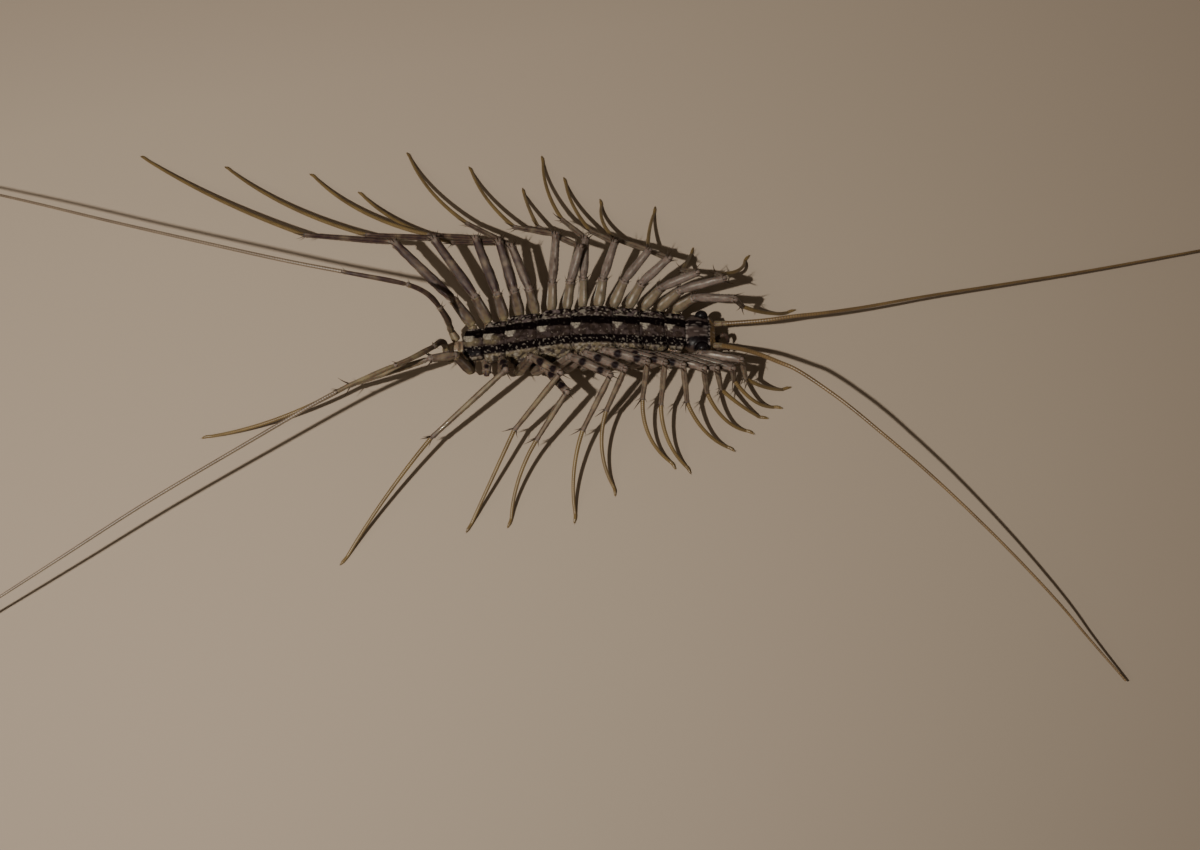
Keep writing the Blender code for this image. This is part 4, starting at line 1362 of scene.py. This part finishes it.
def eye_finish():
    shine = {"Coat_Weight": 0.04, "Coat_Roughness": 0.35, "Specular_IOR_Level": 0.16}
    material, tree, (cloud,) = new_finish("compound_eye_finish", (1600.0,), **shine)
    colour = paint(tree, cloud, (0.002, 0.002, 0.0025), (0.012, 0.008, 0.009))
    return surfaced(material, colour, cloud, (0.15, 0.3), cloud, 0.1, 0.00001)


def head_finish():
    shine = {"Coat_Weight": 0.03, "Coat_Roughness": 0.3, "Specular_IOR_Level": 0.16}
    material, tree, (coarse, fine) = new_finish("head_shell_finish", (1000.0, 4600.0), **shine)
    colour = coated(
        tree,
        (0.075, 0.055, 0.048),
        ("tone", (0.018, 0.011, 0.01)),
        ("spot", (0.105, 0.066, 0.03)),
        (band(tree, coarse, 0.5, 0.75), (0.05, 0.034, 0.03)),
        ("stripe", (0.0042, 0.0022, 0.0028)),
        ("cream", (0.2, 0.168, 0.15)),
    )
    return surfaced(material, colour, fine, (0.3, 0.28), sums(tree, "ADD", fine, coarse), 0.3, 0.00003)


def floor_finish():
    """A plain floor with painted light and shade: darker towards the near right and lighter towards the far
    left, in place of the lamp's fall-off.
    """
    material, tree, (cloud,) = new_finish("floor_finish", (9.0,), Specular_IOR_Level=0.2)
    inputs = {0: object_place(tree), 1: (-0.25, 1.0, 0.0)}
    across = add(tree, "ShaderNodeVectorMath", inputs, operation="DOT_PRODUCT").outputs[1]
    # Painted shade on the near side and painted light on the far side.
    near = paint(tree, cloud, (0.245, 0.202, 0.158), (0.262, 0.216, 0.169))
    far = paint(tree, cloud, (0.46, 0.379, 0.298), (0.485, 0.4, 0.314))
    return surfaced(material, paint(tree, band(tree, across, -0.06, 0.05), near, far), cloud, (0.1, 0.75))


# Putting the pieces together.


def new_light(name, kind, place, power, colour):
    light = bpy.data.lights.new(name, kind)
    light.energy = power
    light.color = colour
    lamp = new_object(name, light)
    lamp.location = place
    return lamp


def make_stage():
    mesh = bpy.data.meshes.new("floor")
    corners = [(x * FLOOR_REACH, y * FLOOR_REACH, 0) for x, y in ((-1, -1), (1, -1), (1, 1), (-1, 1))]
    mesh.from_pydata(corners, [], [(0, 1, 2, 3)])
    mesh.materials.append(floor_finish())
    floor = new_object("floor", mesh)

    world = bpy.data.worlds.new("studio")
    world.use_nodes = True
    sky = world.node_tree.nodes["Background"].inputs
    sky["Color"].default_value = SKY_COLOUR
    sky["Strength"].default_value = SKY_STRENGTH
    bpy.context.scene.world = world

    lamp = new_light("near_lamp", "POINT", LAMP_PLACE, LAMP_POWER, (1.0, 0.95, 0.87))
    lamp.data.shadow_soft_size = LAMP_RADIUS
    panel = new_light("panel", "AREA", PANEL_PLACE, PANEL_POWER, (1.0, 0.86, 0.7))
    panel.data.shape = "RECTANGLE"
    panel.data.size, panel.data.size_y = PANEL_SIZE
    panel.rotation_euler = PANEL_PLACE.to_track_quat("Z", "Y").to_euler()


def make_camera():
    data = bpy.data.cameras.new("camera")
    data.sensor_width = 36.0
    data.lens = VIEW_LENS
    data.clip_start = 0.005
    data.clip_end = 20.0
    camera = new_object("camera", data)
    lift = math.radians(VIEW_ELEVATION)
    towards = Vector((0, -math.cos(lift), math.sin(lift)))
    camera.location = VIEW_TARGET + towards * VIEW_DISTANCE
    camera.rotation_euler = towards.to_track_quat("Z", "Y").to_euler()
    bpy.context.scene.camera = camera


def settle(obj, slot, *nodes):
    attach(obj, "root")
    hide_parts(*nodes)


def make_centipede():
    tree = limb_tree()
    facets = facet_tree()
    bristle = bristle_finish("bristle_finish", (0.014, 0.008, 0.006), (0.06, 0.035, 0.018))
    spinule = bristle_finish("spinule_finish", (0.006, 0.004, 0.004), (0.03, 0.021, 0.018))
    limb = limb_finish()
    tarsus = ringed_finish("tarsus_finish", *TARSUS_COLOURS)
    trail = ringed_finish("trailing_tarsus_finish", *TRAIL_COLOURS)
    feeler = ringed_finish("feeler_finish", *FEELER_COLOURS)
    plate = plate_finish()
    skin = skin_finish()
    head = head_finish()
    eye = eye_finish()

    def finish(obj, shell, rings, hairs=bristle, **sizes):
        settings = {"Shell": shell, "Rings": rings, "Bristles": hairs}
        settings.update({label.replace("_", " "): value for label, value in sizes.items()})
        return grown(obj, tree, settings)

    piece = finish(make_body_skin(), skin, skin, Spinules_Per_Square_Metre=7e6)
    settle(piece, "soft_skin", "trunk", "telson")
    for index in range(len(PLATE_REAR_X)):
        piece = make_plate(index)
        piece = finish(piece, plate, plate, spinule, Spinules_Per_Square_Metre=16e6, Bristle_Width=0.12)
        settle(piece, "back_plate", f"tergite_{index + 1}")
    settle(finish(make_head(), head, head, Spinules_Per_Square_Metre=9e6), "head_capsule", "head")
    sides = (
        (1, "left", LEFT_STANCE, LEFT_TRAIL, LEFT_ANTENNA),
        (-1, "right", RIGHT_STANCE, RIGHT_TRAIL, RIGHT_ANTENNA),
    )
    for side, word, stances, trail_stops, antenna_stops in sides:
        piece = grown(make_eye(f"faceted_eye_{word}", side), facets, {"Lens": eye, "Facet Radius": 0.000033})
        settle(piece, "compound_eye", f"eye_{word}")
        piece = finish(make_horn(f"poison_claw_{word}", side, **POISON_CLAW), limb, limb)
        settle(piece, "head_capsule", f"forcipule_{word}")
        piece = finish(make_horn(f"jointed_palp_{word}", side, **PALP), limb, limb)
        settle(piece, "head_capsule", f"palp_{word}")
        piece = make_antenna(f"ringed_feeler_{word}", antenna_stops)
        piece = finish(piece, limb, feeler, Ring_Length=0.00028, Ring_Sides=9, Bristle_Width=0.05)
        settle(piece, "feeler", f"antenna_{word}")
        for pair in range(1, PAIRS):
            name = f"jointed_leg_{word}_{pair:02d}"
            if pair in stances:
                piece = make_leg(name, pair, side, stances[pair])
            else:
                piece = make_stub(name, pair, side)
            settle(finish(piece, limb, tarsus), "limb", f"leg_{word}_{pair:02d}")
        piece = make_trail(f"jointed_leg_{word}_15", side, trail_stops)
        piece = finish(piece, limb, trail, Ring_Length=0.00026, Ring_Sides=9)
        settle(piece, "limb", f"leg_{word}_15")


make_camera()
make_stage()
make_centipede()
